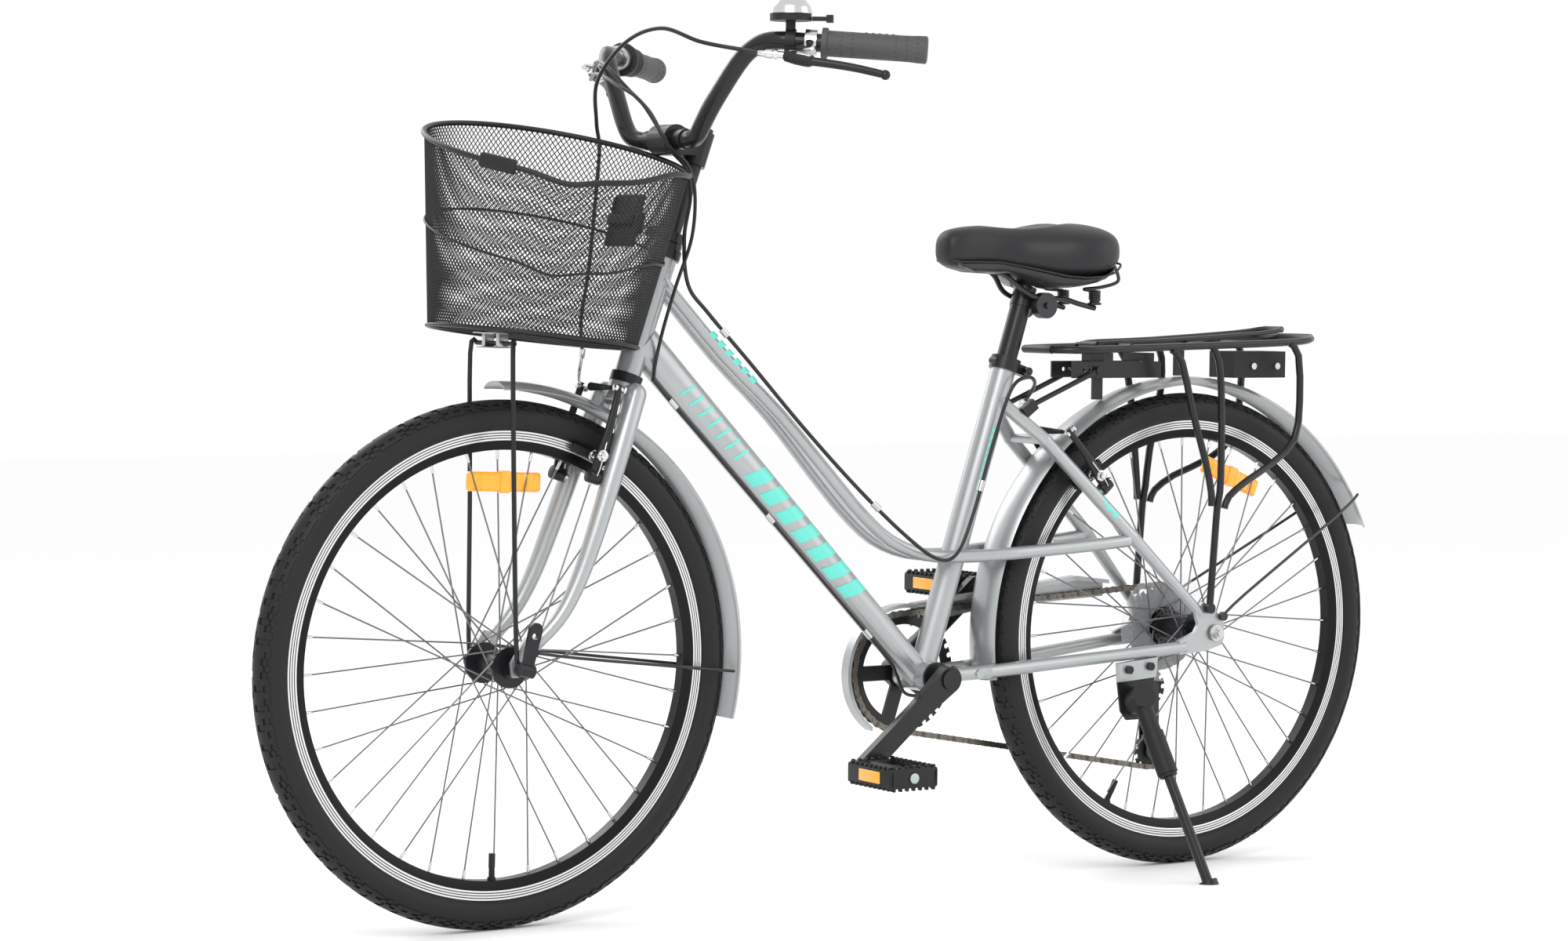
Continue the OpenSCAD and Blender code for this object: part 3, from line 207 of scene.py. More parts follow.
# Blacked parts: headset cups, seat collar and stem are anodised or painted satin black,
# with a fine orange peel and patches of slightly greyer black.
black_paint = surface("black_paint", (0.008, 0.008, 0.009), 0.3, second=(0.014, 0.014, 0.015), grain=1400,
                      bump=0.05, coat=0.1, specular=0.32)
black_alloy = surface("black_alloy", (0.010, 0.010, 0.012), 0.32, metal=0.4, second=(0.022, 0.022, 0.025),
                      grain=2200, bump=0.08)
black_plastic = surface("black_plastic", (0.01, 0.01, 0.011), 0.46, second=(0.018, 0.018, 0.019), grain=3200,
                        bump=0.22, specular=0.28)
zinc = surface("zinc_plate", (0.62, 0.62, 0.61), 0.27, metal=1.0, second=(0.48, 0.48, 0.47), grain=1800,
               bump=0.07)
polished_alloy = surface("polished_alloy", (0.68, 0.68, 0.69), 0.22, metal=1.0, second=(0.55, 0.55, 0.56),
                         grain=1500, bump=0.05)
dark_steel = surface("dark_steel", (0.035, 0.035, 0.038), 0.32, metal=0.8, second=(0.065, 0.065, 0.07),
                     grain=1600, bump=0.08)
refine("bearings", black_alloy, "frame")
refine("seat_collar", black_alloy, "frame")
refine("stem", black_paint, "front_end")
refine("seat_post", black_paint, "seat_post")
refine("basket_bracket", black_paint, "front_end")
refine("rear_axle", zinc, "frame")
refine("front_axle", black_alloy, "front_end")
refine("rack_fittings", black_paint, "frame")
light_housing = refine("rear_reflector", black_plastic, "frame")
light_housing.data.materials.append(zinc)
to_upright = (upright @ mm).inverted()
for face in light_housing.data.polygons:
    spot = to_upright @ face.center
    if abs(spot.y) > 26.05 and min(math.hypot(spot.x + bx, spot.z - 358) for bx in (142, 100)) < 4.7:
        face.material_index = 1
refine("cable_stops", zinc, "frame")


# Mudguards and chain guard: rolled sheet steel in the same silver paint as the frame,
# held by wire stays.
refine("rear_fender", silver_paint, "frame", 24)
refine("front_fender", silver_paint, "front_end", 24)
refine("chain_guard", silver_paint, "frame")
refine("rear_fender_stays", dark_steel, "frame")
refine("front_stays", black_paint, "front_end")


# High-rise bar and rear rack: bent steel tube, sprayed black. The bar is held in the
# stem; the rack is one loop, fixed by its fittings.
refine("handlebar", black_paint, "front_end")
refine("rear_rack", black_paint, "frame", 50)

# Cockpit castings: polished alloy brake brackets and bell dome, black levers and bell
# base. The quick-release lever of the front axle has the levers' finish.
refine("brake_mount_left", polished_alloy, "front_end")
refine("brake_mount_right", polished_alloy, "front_end")
refine("brake_lever_left", black_alloy, "brake_lever_left")
refine("brake_lever_right", black_alloy, "brake_lever_right")
refine("bell_base", black_plastic, "front_end")
refine("bell_dome", polished_alloy, "front_end")
refine("bell_lever", black_plastic, "bell_lever")
refine("front_qr_lever", black_alloy, "front_qr_lever")

# Drive: cranks and chainring painted black, sprockets and derailleur in dark steel, and
# two black plastic jockey wheels.
refine("crankset", black_paint, "cranks")
refine("freewheel", dark_steel, "freewheel")
refine("derailleur", dark_steel, "frame")
refine("jockey_guide", black_plastic, "jockey_guide")
refine("jockey_tension", black_plastic, "jockey_tension")

# Side stand: a silver plate with two black bolts, and a black housing in which the leg
# folds. The foot slides in the leg's plastic sleeve.
bracket = refine("kickstand_bracket", black_paint, "frame")
bracket.data.materials.append(silver_paint)
for face in bracket.data.polygons:
    spot = to_upright @ face.center
    if spot.z > -60.2 and all(math.hypot(spot.x - bx, spot.z - bz) > 6.4 for bx,
                              bz in ((142, -44), (106, -41))):
        face.material_index = 1
refine("stand_sleeve", black_plastic, "kickstand")
refine("stand_foot", black_paint, "stand_foot")


# Marks on the tubes: thin turquoise film laid on the paint. They are plain slanted bars
# and dashes, cut from sheets that follow each tube's round.
film = surface("turquoise_film", (0.10, 0.62, 0.52), 0.35, second=(0.14, 0.68, 0.58), grain=1800, bump=0.03,
               coat=0.3)


def from_shape(name, shape):
    """The finished shape as an object of its own, picked."""
    mesh = bpy.data.meshes.new(name)
    shape.to_mesh(mesh)
    shape.free()
    piece = bpy.data.objects.new(name, mesh)
    scene.collection.objects.link(piece)
    pick(piece)
    return piece


def apply_modifier(piece, kind, **settings):
    """Adds a modifier to the picked piece, sets it and applies it."""
    bpy.ops.object.modifier_add(type=kind)
    for setting, value in settings.items():
        setattr(piece.modifiers[-1], setting, value)
    bpy.ops.object.modifier_apply(modifier=piece.modifiers[-1].name)


def face_outward(weld=0):
    """Turns the picked piece's faces outward, after welding points closer than the weld."""
    bpy.ops.object.mode_set(mode="EDIT")
    bpy.ops.mesh.select_all(action="SELECT")
    if weld:
        bpy.ops.mesh.remove_doubles(threshold=weld)
    bpy.ops.mesh.normals_make_consistent(inside=False)
    bpy.ops.object.mode_set(mode="OBJECT")


def tube_mark(name, a, b, half_wide, half_deep, bars, body, side=1):
    """Bars of film on a straight tube from a to b. Each bar is (start, end, low, high,
    slant): start and end in mm along the tube, low and high in degrees round it."""
    a, b = Vector(a), Vector(b)
    run = (b - a).normalized()
    wide = Vector((0, side, 0))
    wide = (wide - run * wide.dot(run)).normalized()
    deep = wide.cross(run).normalized()
    if deep.z < 0:
        deep = -deep
    shape = bmesh.new()
    for start, end, low, high, slant in bars:
        across = 10
        rows = []
        for along_step in range(5):
            row = []
            for i in range(across + 1):
                angle = math.radians(low + (high - low) * i / across)
                s = start + (end - start) * along_step / 4 + slant * math.sin(angle) * half_deep
                taper = s / (b - a).length
                hw = half_wide[0] + (half_wide[1] - half_wide[0]) * taper + 0.25
                hd = half_deep + 0.25 if half_deep > 0 else hw
                row.append(shape.verts.new(a + run * s + wide * hw * math.cos(angle)
                                           + deep * hd * math.sin(angle)))
            rows.append(row)
        for r0, r1 in zip(rows, rows[1:]):
            for i in range(across):
                shape.faces.new((r0[i], r1[i], r1[i + 1], r0[i + 1]))
    piece = from_shape(name, shape)
    apply_modifier(piece, "SOLIDIFY", thickness=0.2, offset=0)
    face_outward()
    bpy.ops.object.shade_smooth_by_angle(angle=math.radians(50))
    piece.data.materials.append(film)
    lean_over(piece, body)


slim_bars = [(86 + 19 * k, 90 + 19 * k, -30, 34, 0.3) for k in range(7)]
bold_bars = [(232 + 34 * k, 253 + 34 * k, -42, 44, 0.5) for k in range(7)]
for side, side_name in ((1, "left"), (-1, "right")):
    tube_mark("down_tube_mark_" + side_name, (867.6, 0, 394), (438, 0, -43), (18, 18), 22, slim_bars
              + bold_bars, "frame", side)
    tube_mark("seat_tube_mark_" + side_name, (330, 0, 281), (363, 0, 178), (16.6, 16.6), 16.6,
              [(4 + 10 * k, 9 + 10 * k, -16, 14, 0.2) for k in range(9)], "frame", side)
    tube_mark("top_tube_mark_" + side_name, (778, 10.5 * side, 407), (688, 13 * side, 320), (8.6, 8.6), 8.6,
              [(6 + 16 * k, 16 + 16 * k, -30, 30, 0.4) for k in range(6)], "frame", side)
    tube_mark("stay_mark_" + side_name, (257, 38 * side, 255), (126, 50 * side, 132), (9.1, 9.1), 9.1,
              [(40 + 13 * k, 49 + 13 * k, -26, 26, 0.3) for k in range(8)], "frame", side)
tube_mark("head_mark", (1007.14 - 448 * 0.33381, 0, 448 * 0.94264),
          (1007.14 - 412 * 0.33381, 0, 412 * 0.94264), (16.6, 16.6), 16.6,
          [(2, 8, 30, 80, 0.3), (13, 19, 25, 75, 0.3), (24, 30, 20, 60, 0.3)], "frame", 1)


# Basket: black steel mesh, cut into narrow diamonds and rolled to an oval cup, with a
# wire rim, one hoop lower down, a badge plate in front, a plate behind and a clamp below.
def basket_at(turn, rise, inset=0.0):
    """The place on the basket's wall at an angle, from floor (0) to rim (1)."""
    a = math.radians(turn)
    rx, ry = 127 + 31 * rise - inset, 130 + 40 * rise - inset
    x = 1017.5 - 31.5 * rise + rx * math.cos(a)
    low = 397 + 0.115 * (x - 1017.5)
    dip = 8 * math.exp(-((turn % 360 - 63) / 11) ** 2) - 12 * math.exp(-((turn % 360 - 118) / 21) ** 2)
    high = 619 - 40 * math.sin(a) + 6 * math.cos(a) - dip
    return Vector((x, ry * math.sin(a), low + (high - low) * rise))


def smooth_path(points, steps):
    """Points of a smooth curve through the given points."""
    points = [Vector(p) for p in points]
    out = []
    for i in range(len(points) - 1):
        a, b = points[max(i - 1, 0)], points[i]
        c, d = points[i + 1], points[min(i + 2, len(points) - 1)]
        for k in range(steps):
            t = k / steps
            out.append(0.5 * (2 * b + (c - a) * t + (2 * a - 5 * b + 4 * c - d) * t * t
                              + (3 * b - a - 3 * c + d) * t ** 3))
    out.append(points[-1])
    return out


def bent_tube(name, points, radius, finish, sides=4, closed=False):
    """A round tube or wire along the points, with rounded shading."""
    curve = bpy.data.curves.new(name, "CURVE")
    curve.dimensions = "3D"
    curve.bevel_depth = radius
    curve.bevel_resolution = sides
    curve.use_fill_caps = not closed
    strand = curve.splines.new("POLY")
    strand.points.add(len(points) - 1)
    for knot, place in zip(strand.points, points):
        knot.co = (*place, 1)
    strand.use_cyclic_u = closed
    piece = bpy.data.objects.new(name, curve)
    scene.collection.objects.link(piece)
    pick(piece)
    bpy.ops.object.convert(target="MESH")
    piece = bpy.context.object
    face_outward(weld=0.001)
    bpy.ops.object.shade_smooth_by_angle(angle=math.radians(50))
    piece.data.materials.clear()
    piece.data.materials.append(finish)
    return piece


def joined(name, parts):
    """Several pieces made one object."""
    bpy.ops.object.select_all(action="DESELECT")
    for part in parts:
        part.select_set(True)
    bpy.context.view_layer.objects.active = parts[0]
    bpy.ops.object.join()
    parts[0].name = name
    return parts[0]


basket_wire = surface("basket_wire", (0.008, 0.008, 0.009), 0.42, second=(0.016, 0.016, 0.017), grain=1200,
                      bump=0.05, specular=0.35)
mesh_turns, mesh_rows = 148, 31
weave = bmesh.new()
knots = []
for row in range(2 * mesh_rows + 1):
    knots.append([weave.verts.new(basket_at((k + 0.5 * (row % 2)) * 360 / mesh_turns, row / (2 * mesh_rows),
                                            1.5))
                  for k in range(mesh_turns)])
for row in range(2 * mesh_rows - 1):
    for k in range(mesh_turns):
        left = k if row % 2 else k - 1
        weave.faces.new((knots[row][k], knots[row + 1][(left + 1) % mesh_turns], knots[row + 2][k],
                         knots[row + 1][left]))
cell = 7.0
floor_weave = bmesh.new()
floor_knots = {}


def floor_knot(i, j):
    """The knot of the floor's mesh at a lattice place, or None outside the oval."""
    x, y = i * cell / 2, j * cell / 2
    if (x / 125) ** 2 + (y / 128) ** 2 > 1:
        return None
    if (i, j) not in floor_knots:
        floor_knots[i, j] = floor_weave.verts.new((1017.5 + x, y, 398.5 + 0.115 * x))
    return floor_knots[i, j]


for i in range(-37, 38):
    for j in range(-37, 38):
        if (i + j) % 2 == 0:
            corners = [floor_knot(i + 1, j), floor_knot(i, j + 1), floor_knot(i - 1, j), floor_knot(i, j - 1)]
            if None not in corners:
                floor_weave.faces.new(corners)
for weave_name, strands, taken in (("basket_mesh", weave, ["basket"]), ("basket_floor", floor_weave, [])):
    netting = from_shape(weave_name, strands)
    apply_modifier(netting, "WIREFRAME", thickness=1.75, use_even_offset=False, use_boundary=True)
    netting.data.materials.append(basket_wire)
    lean_over(netting, "front_end", taken)
rim_wire = bent_tube("basket_rim", [basket_at(4 * k, 1) for k in range(90)], 3.4, basket_wire, 3, True)
foot_wire = bent_tube("basket_foot", [basket_at(4 * k, 0) for k in range(90)], 2.4, basket_wire, 2, True)
hoop_points = []
for k in range(90):
    top, foot = basket_at(4 * k, 1), basket_at(4 * k, 0)
    hoop_points.append(basket_at(4 * k, 1 - 106 / (top.z - foot.z), -0.6))
hoop_wire = bent_tube("basket_hoop", hoop_points, 1.7, basket_wire, 2, True)
floor_wires = [bent_tube("floor_wire",
                         [(1017.5 - e, s, 396.5 - 0.115 * e), (1017.5 + e, s, 396.5 + 0.115 * e)], 2,
                         basket_wire, 2)
               for s, e in ((-46, 116), (46, 116), (0, 124))]
basket_frame = joined("basket_wires", [rim_wire, foot_wire, hoop_wire] + floor_wires)
lean_over(basket_frame, "front_end")


def block(name, low, high, finish, soften=1.5, segments=3):
    """A moulded or forged block between two corners, with rounded edges."""
    bpy.ops.object.select_all(action="DESELECT")
    low, high = Vector(low), Vector(high)
    bpy.ops.mesh.primitive_cube_add(size=1, location=(low + high) / 2)
    piece = bpy.context.object
    piece.name = name
    piece.scale = high - low
    bpy.ops.object.transform_apply(location=True, rotation=True, scale=True)
    apply_modifier(piece, "BEVEL", width=soften, segments=segments)
    bpy.ops.object.shade_smooth_by_angle(angle=math.radians(35))
    piece.data.materials.append(finish)
    return piece


badge = block("basket_badge", (-4.6, -25, -9), (4.6, 25, 9), black_plastic, 4.2, 4)
badge.data.transform(Matrix.Translation(basket_at(33, 1)) @ Matrix.Rotation(math.radians(31), 4, "Z")
                     @ Matrix.Rotation(math.radians(-12), 4, "X"))
lean_over(badge, "front_end")
back_plate = joined("basket_back_plate", [
    block("plate", (-4, -32, -33), (4, 32, 33), black_plastic, 2.4),
    block("plate_backing", (-16, -22, -14), (0, 22, 14), black_plastic, 3),
    block("plate_lip", (3, -29, -7), (9, 29, 6), black_plastic, 2),
    block("plate_rib", (2, -30, 10), (6, -26, 29), black_plastic, 1.2),
    block("plate_rib", (2, 26, 10), (6, 30, 29), black_plastic, 1.2),
])
back_plate.data.transform(Matrix.Translation((872, -28, 540)) @ Matrix.Rotation(math.radians(-15), 4, "Y"))
lean_over(back_plate, "front_end")
clamp_plate = joined("basket_clamp_plate", [
    block("clamp_top", (1052, -26, 401), (1086, 26, 403), zinc, 0.9),
    block("clamp_low", (1056, -24, 383.5), (1082, 24, 385), zinc, 0.7),
    block("clamp_left", (1062, -21, 384), (1076, -14, 402), zinc, 1),
    block("clamp_right", (1062, 14, 384), (1076, 21, 402), zinc, 1),
])
lean_over(clamp_plate, "front_end")


# Tyres: moulded black rubber with a ribbed centre and cut shoulder blocks, its foot
# squeezed between the rim's walls. Made once at the rear axle and copied to the front.
tyre_rubber = surface("tyre_rubber", (0.008, 0.008, 0.009), 0.5, second=(0.015, 0.015, 0.016), grain=1300,
                      bump=0.18,
                      specular=0.26)
bpy.ops.object.select_all(action="DESELECT")
bpy.ops.mesh.primitive_torus_add(major_segments=324, minor_segments=36, major_radius=299.5, minor_radius=20.3,
                                 rotation=(math.pi / 2, 0, 0))
rear_tread = bpy.context.object
bpy.ops.object.transform_apply(location=True, rotation=True, scale=True)
rear_tread.name = "rear_tyre_tread"
bpy.ops.object.mode_set(mode="EDIT")
tread = bmesh.from_edit_mesh(rear_tread.data)
for face in tread.faces:
    c = face.calc_center_median()
    reach = math.hypot(c.x, c.z)
    lean_out = math.degrees(math.atan2(abs(c.y), reach - 299.5))
    cut = int((math.degrees(math.atan2(c.z, c.x)) % 360) / 360 * 324)
    on_rib = lean_out < 26 and (cut + (2 if c.y > 0 else 0)) % 4 != 0
    on_shoulder = 28 < lean_out < 62 and (cut + int(lean_out / 9)) % 3 != 0
    face.select_set(on_rib or on_shoulder)
for edge in tread.edges:
    edge.select_set(any(f.select for f in edge.link_faces))
bmesh.update_edit_mesh(rear_tread.data)
bpy.ops.mesh.extrude_region_shrink_fatten(TRANSFORM_OT_shrink_fatten={"value": 1.7})
bpy.ops.object.mode_set(mode="OBJECT")
for vert in rear_tread.data.vertices:
    reach = math.hypot(vert.co.x, vert.co.z)
    if reach < 286.4:
        vert.co.y = max(-10.4, min(10.4, vert.co.y))
if max(math.hypot(v.co.x, v.co.z) for v in rear_tread.data.vertices) < 320.5:
    for vert in rear_tread.data.vertices:
        vert.co.x, vert.co.z = vert.co.x * 1.001, vert.co.z * 1.001
bpy.ops.object.shade_smooth_by_angle(angle=math.radians(40))
rear_tread.data.materials.append(tyre_rubber)
front_tread = rear_tread.copy()
front_tread.data = rear_tread.data.copy()
front_tread.name = "front_tyre_tread"
front_tread.data.transform(Matrix.Translation((wheelbase, 0, 0)))
scene.collection.objects.link(front_tread)
lean_over(rear_tread, "rear_wheel", ["rear_tyre"])
lean_over(front_tread, "front_wheel", ["front_tyre"])


# Rims: black anodised alloy with a bare machined brake track, turned with fine grooves whose shade is painted
# as thin dark rings.
# Spokes are bright wire with a nickel nipple each; a valve stands in each rim.
def rim_finish(name, axle_x):
    """Black alloy with bare rings, banded by the distance from the axle."""
    m = surface(name, (0.02, 0.02, 0.022), 0.3, metal=0.8, second=(0.03, 0.03, 0.032), grain=1800, bump=0.04)
    t = m.node_tree
    p = t.nodes["Principled BSDF"]
    place = add_node(t, "TexCoord")
    shift = -(Matrix.Rotation(lean, 3, "X") @ upright.to_translation()) - Vector((axle_x / 1000, 0, 0))
    to_hub = add_node(t, "Mapping", Rotation=(lean, 0, 0), Location=shift)
    parts = add_node(t, "SeparateXYZ")
    flat = add_node(t, "CombineXYZ")
    reach = add_node(t, "VectorMath")
    reach.operation = "LENGTH"
    across = add_node(t, "MapRange", From_Min=0.2605, From_Max=0.2860)
    band = t.nodes.new("ShaderNodeValToRGB")
    ramp = band.color_ramp
    ramp.interpolation = "CONSTANT"
    # The thin dark rings in the bare track are painted shade for the grooves, which the mesh does not have.
    black, bare, groove_shade = (0.012, 0.012, 0.013, 1), (0.74, 0.74, 0.75, 1), (0.05, 0.05, 0.052, 1)
    ramp.elements[0].position, ramp.elements[0].color = 0, black
    ramp.elements[1].position, ramp.elements[1].color = 0.48, bare
    for stop, shade in ((0.56, groove_shade), (0.61, bare), (0.68, groove_shade), (0.73, bare), (0.80, groove_shade),
                        (0.85, bare), (0.93, black)):
        step = ramp.elements.new(stop)
        step.color = shade
    shade_metal = t.nodes.new("ShaderNodeMath")
    shade_metal.operation = "MULTIPLY_ADD"
    shade_metal.inputs[1].default_value = 0.2
    shade_metal.inputs[2].default_value = 0.8
    link = t.links.new
    link(place.outputs["Object"], to_hub.inputs["Vector"])
    link(to_hub.outputs[0], parts.inputs[0])
    link(parts.outputs["X"], flat.inputs["X"])
    link(parts.outputs["Z"], flat.inputs["Z"])
    link(flat.outputs[0], reach.inputs[0])
    link(reach.outputs["Value"], across.inputs["Value"])
    link(across.outputs[0], band.inputs[0])
    link(band.outputs["Color"], p.inputs["Base Color"])
    link(band.outputs["Alpha"], shade_metal.inputs[0])
    return m


nickel = surface("nickel", (0.75, 0.75, 0.74), 0.2, metal=1.0, second=(0.6, 0.6, 0.6), grain=900, bump=0.03)
spoke_wire = surface("spoke_wire", (0.22, 0.22, 0.225), 0.3, metal=0.9, second=(0.13, 0.13, 0.135), grain=700,
                     bump=0.04)
amber_painted_glow = surface("amber_lens_painted_glow", (0.95, 0.33, 0.01), 0.22, second=(1.0, 0.46, 0.03), grain=520, bump=0.5,
                coat=0.6, blotch=90)
# The amber lenses get a faint orange emission, a painted glow: they are reflectors, not lamps.
amber_painted_glow.node_tree.nodes["Principled BSDF"].inputs["Emission Color"].default_value = (0.9, 0.25, 0.0, 1)
amber_painted_glow.node_tree.nodes["Principled BSDF"].inputs["Emission Strength"].default_value = 0.12
for end, wheel_body, axle_x, flange_left, flange_right, valve_turn, lens_turn in (
        ("front", "front_wheel", wheelbase, 33, -33, -89, 92), ("rear", "rear_wheel", 0, 34, -28, -62, 112)):
    refine(end + "_rim", rim_finish(end + "_rim_finish", axle_x), wheel_body)
    refine(end + "_spokes", spoke_wire, wheel_body, 60)
    refine(end + "_hub", black_alloy if end == "front" else dark_steel, wheel_body)
    nipples = []
    for k in range(36):
        direction = 1 if (k // 2) % 2 == 0 else -1
        a, h = math.radians(10 * k), math.radians(10 * k + 60 * direction)
        hub_end = Vector((25.6 * math.cos(h), (flange_left if k % 2 == 0 else flange_right) + 2.4 * direction,
                          25.6 * math.sin(h)))
        rim_end = Vector((260.6 * math.cos(a), (2.5 if k % 2 == 0 else -2.5) + 0.8 * direction,
                          260.6 * math.sin(a)))
        run = (rim_end - hub_end).normalized()
        bpy.ops.object.select_all(action="DESELECT")
        bpy.ops.mesh.primitive_cylinder_add(vertices=10, radius=1.9, depth=12, location=rim_end - run * 5,
                                            rotation=run.to_track_quat("Z", "Y").to_euler())
        nipple = bpy.context.object
        nipple.data.transform(nipple.matrix_world)
        nipple.matrix_world = Matrix.Translation((axle_x, 0, 0))
        bpy.ops.object.transform_apply(location=True, rotation=False, scale=False)
        nipple.data.materials.append(nickel)
        nipples.append(nipple)
    ring = joined(end + "_nipples", nipples)
    pick(ring)
    bpy.ops.object.shade_smooth_by_angle(angle=math.radians(50))
    lean_over(ring, wheel_body)
    # Valve: rubber stem and plastic cap, and the rim's end of the tube
    va = math.radians(valve_turn)
    out = Vector((math.cos(va), 0, math.sin(va)))
    hub_at = Vector((axle_x, 0, 0))
    stem_rubber = bent_tube(end + "_valve", [hub_at + out * 262, hub_at + out * 250, hub_at + out * 246], 3.6,
                            tyre_rubber, 4)
    cap = bent_tube("valve_cap",
                    [hub_at + out * 246.5, hub_at + out * 238, hub_at + out * 230.5, hub_at + out * 229], 4.1,
                    black_plastic, 4)
    foot = bent_tube("valve_foot", [hub_at + out * 262, hub_at + out * 258], 5.2, tyre_rubber, 4)
    lean_over(joined(end + "_valve", [stem_rubber, cap, foot]), wheel_body)
    # Amber reflector clipped between the spokes, moulded with fine prisms, in the amber lens finish with its
    # painted glow
    lens_at = math.radians(lens_turn)
    lens = block(end + "_reflector", (-50, -5.5, -12), (50, 5.5, 12), amber_painted_glow, 4, 4)
    clip = block("clip", (-7, -7.5, -13.5), (7, 7.5, 13.5), amber_painted_glow, 2)
    ends = [block("lens_end", (s - 4, -6.6, -9), (s + 4, 6.6, 9), amber_painted_glow, 2) for s in (-44, 44)]
    ribs = [block("lens_rib", (-42 + 9 * k, -6.3, -9.5), (-38 + 9 * k, 6.3, 9.5), amber_painted_glow, 0.8, 1)
            for k in range(10)]
    lens = joined(end + "_reflector", [lens, clip] + ends + ribs)
    lens.data.transform(Matrix.Translation((axle_x + 222 * math.cos(lens_at), 0, 222 * math.sin(lens_at)))
                        @ Matrix.Rotation(-(lens_at - math.pi / 2), 4, "Y"))
    lean_over(lens, wheel_body)


# Spoke guard: a clear plastic disc between the largest sprocket and the spokes. It
# turns with the wheel and lets the spokes show through.
clear_disc = surface("clear_plastic", (0.86, 0.88, 0.9), 0.12, second=(0.8, 0.83, 0.86), grain=500, bump=0.02)
clear_disc.node_tree.nodes["Principled BSDF"].inputs["Alpha"].default_value = 0.16
bpy.ops.object.select_all(action="DESELECT")
bpy.ops.mesh.primitive_circle_add(vertices=72, radius=76, fill_type="NOTHING", rotation=(math.pi / 2, 0, 0),
                                  location=(0, -33.2, 0))
guard_disc = bpy.context.object
guard_disc.name = "spoke_guard"
bpy.ops.object.transform_apply(location=True, rotation=True, scale=True)
bpy.ops.object.mode_set(mode="EDIT")
bpy.ops.mesh.select_all(action="SELECT")
bpy.ops.mesh.extrude_edges_move()
bpy.ops.transform.resize(value=(0.36, 1, 0.36), center_override=(0, -33.2, 0))
bpy.ops.object.mode_set(mode="OBJECT")
apply_modifier(guard_disc, "SOLIDIFY", thickness=1.2)
guard_disc.data.materials.append(clear_disc)
lean_over(guard_disc, "rear_wheel")


# Chain: half-inch pitch links, browned with oil, from the chainring over the largest
# sprocket, in front of the guide wheel, behind the tension wheel and back.
link_pitch = 12.7


def chain_path():
    """Points of the closed loop and where each tangent leaves its wheel, in the wheels' plane."""
    wheels = [((434, -43), link_pitch / 2 / math.sin(math.pi / 38), 1),
              ((0, 0), link_pitch / 2 / math.sin(math.pi / 28), 1),
              ((18, -84), link_pitch / 2 / math.sin(math.pi / 11), -1),
              ((16, -172), link_pitch / 2 / math.sin(math.pi / 11), 1)]
    leaves, meets = [], []
    for i in range(4):
        (x1, z1), r1, s1 = wheels[i]
        (x2, z2), r2, s2 = wheels[(i + 1) % 4]
        far = math.hypot(x2 - x1, z2 - z1)
        turn = math.atan2(z2 - z1, x2 - x1) - math.asin((s2 * r2 - s1 * r1) / far)
        n = (-math.sin(turn), math.cos(turn))
        leaves.append((x1 - s1 * r1 * n[0], z1 - s1 * r1 * n[1]))
        meets.append((x2 - s2 * r2 * n[0], z2 - s2 * r2 * n[1]))
    path = []
    for i in range(4):
        (cx, cz), r, s = wheels[i]
        arrive, go = meets[i - 1], leaves[i]
        a0 = math.atan2(arrive[1] - cz, arrive[0] - cx)
        a1 = math.atan2(go[1] - cz, go[0] - cx)
        sweep = (a1 - a0) * s % (2 * math.pi)
        steps = max(6, int(sweep * r / 2))
        path += [(cx + r * math.cos(a0 + s * sweep * k / steps), cz
                  + r * math.sin(a0 + s * sweep * k / steps)) for k in range(steps + 1)]
        nx, nz = meets[i]
        straight = max(2, int(math.hypot(nx - go[0], nz - go[1]) / 6))
        path += [(go[0] + (nx - go[0]) * k / straight, go[1] + (nz - go[1]) * k / straight)
                 for k in range(1, straight)]
    return path


loop = chain_path()
loop_reach = [0.0]
for (x0, z0), (x1, z1) in zip(loop, loop[1:] + loop[:1]):
    loop_reach.append(loop_reach[-1] + math.hypot(x1 - x0, z1 - z0))
link_count = 2 * round(loop_reach[-1] / link_pitch / 2)


def loop_at(distance):
    """The point of the chain's loop at a distance along it."""
    distance %= loop_reach[-1]
    i = max(k for k in range(len(loop)) if loop_reach[k] <= distance)
    t = (distance - loop_reach[i]) / max(1e-6, loop_reach[i + 1] - loop_reach[i])
    x0, z0 = loop[i]
    x1, z1 = loop[(i + 1) % len(loop)]
    return Vector((x0 + (x1 - x0) * t, -42, z0 + (z1 - z0) * t))


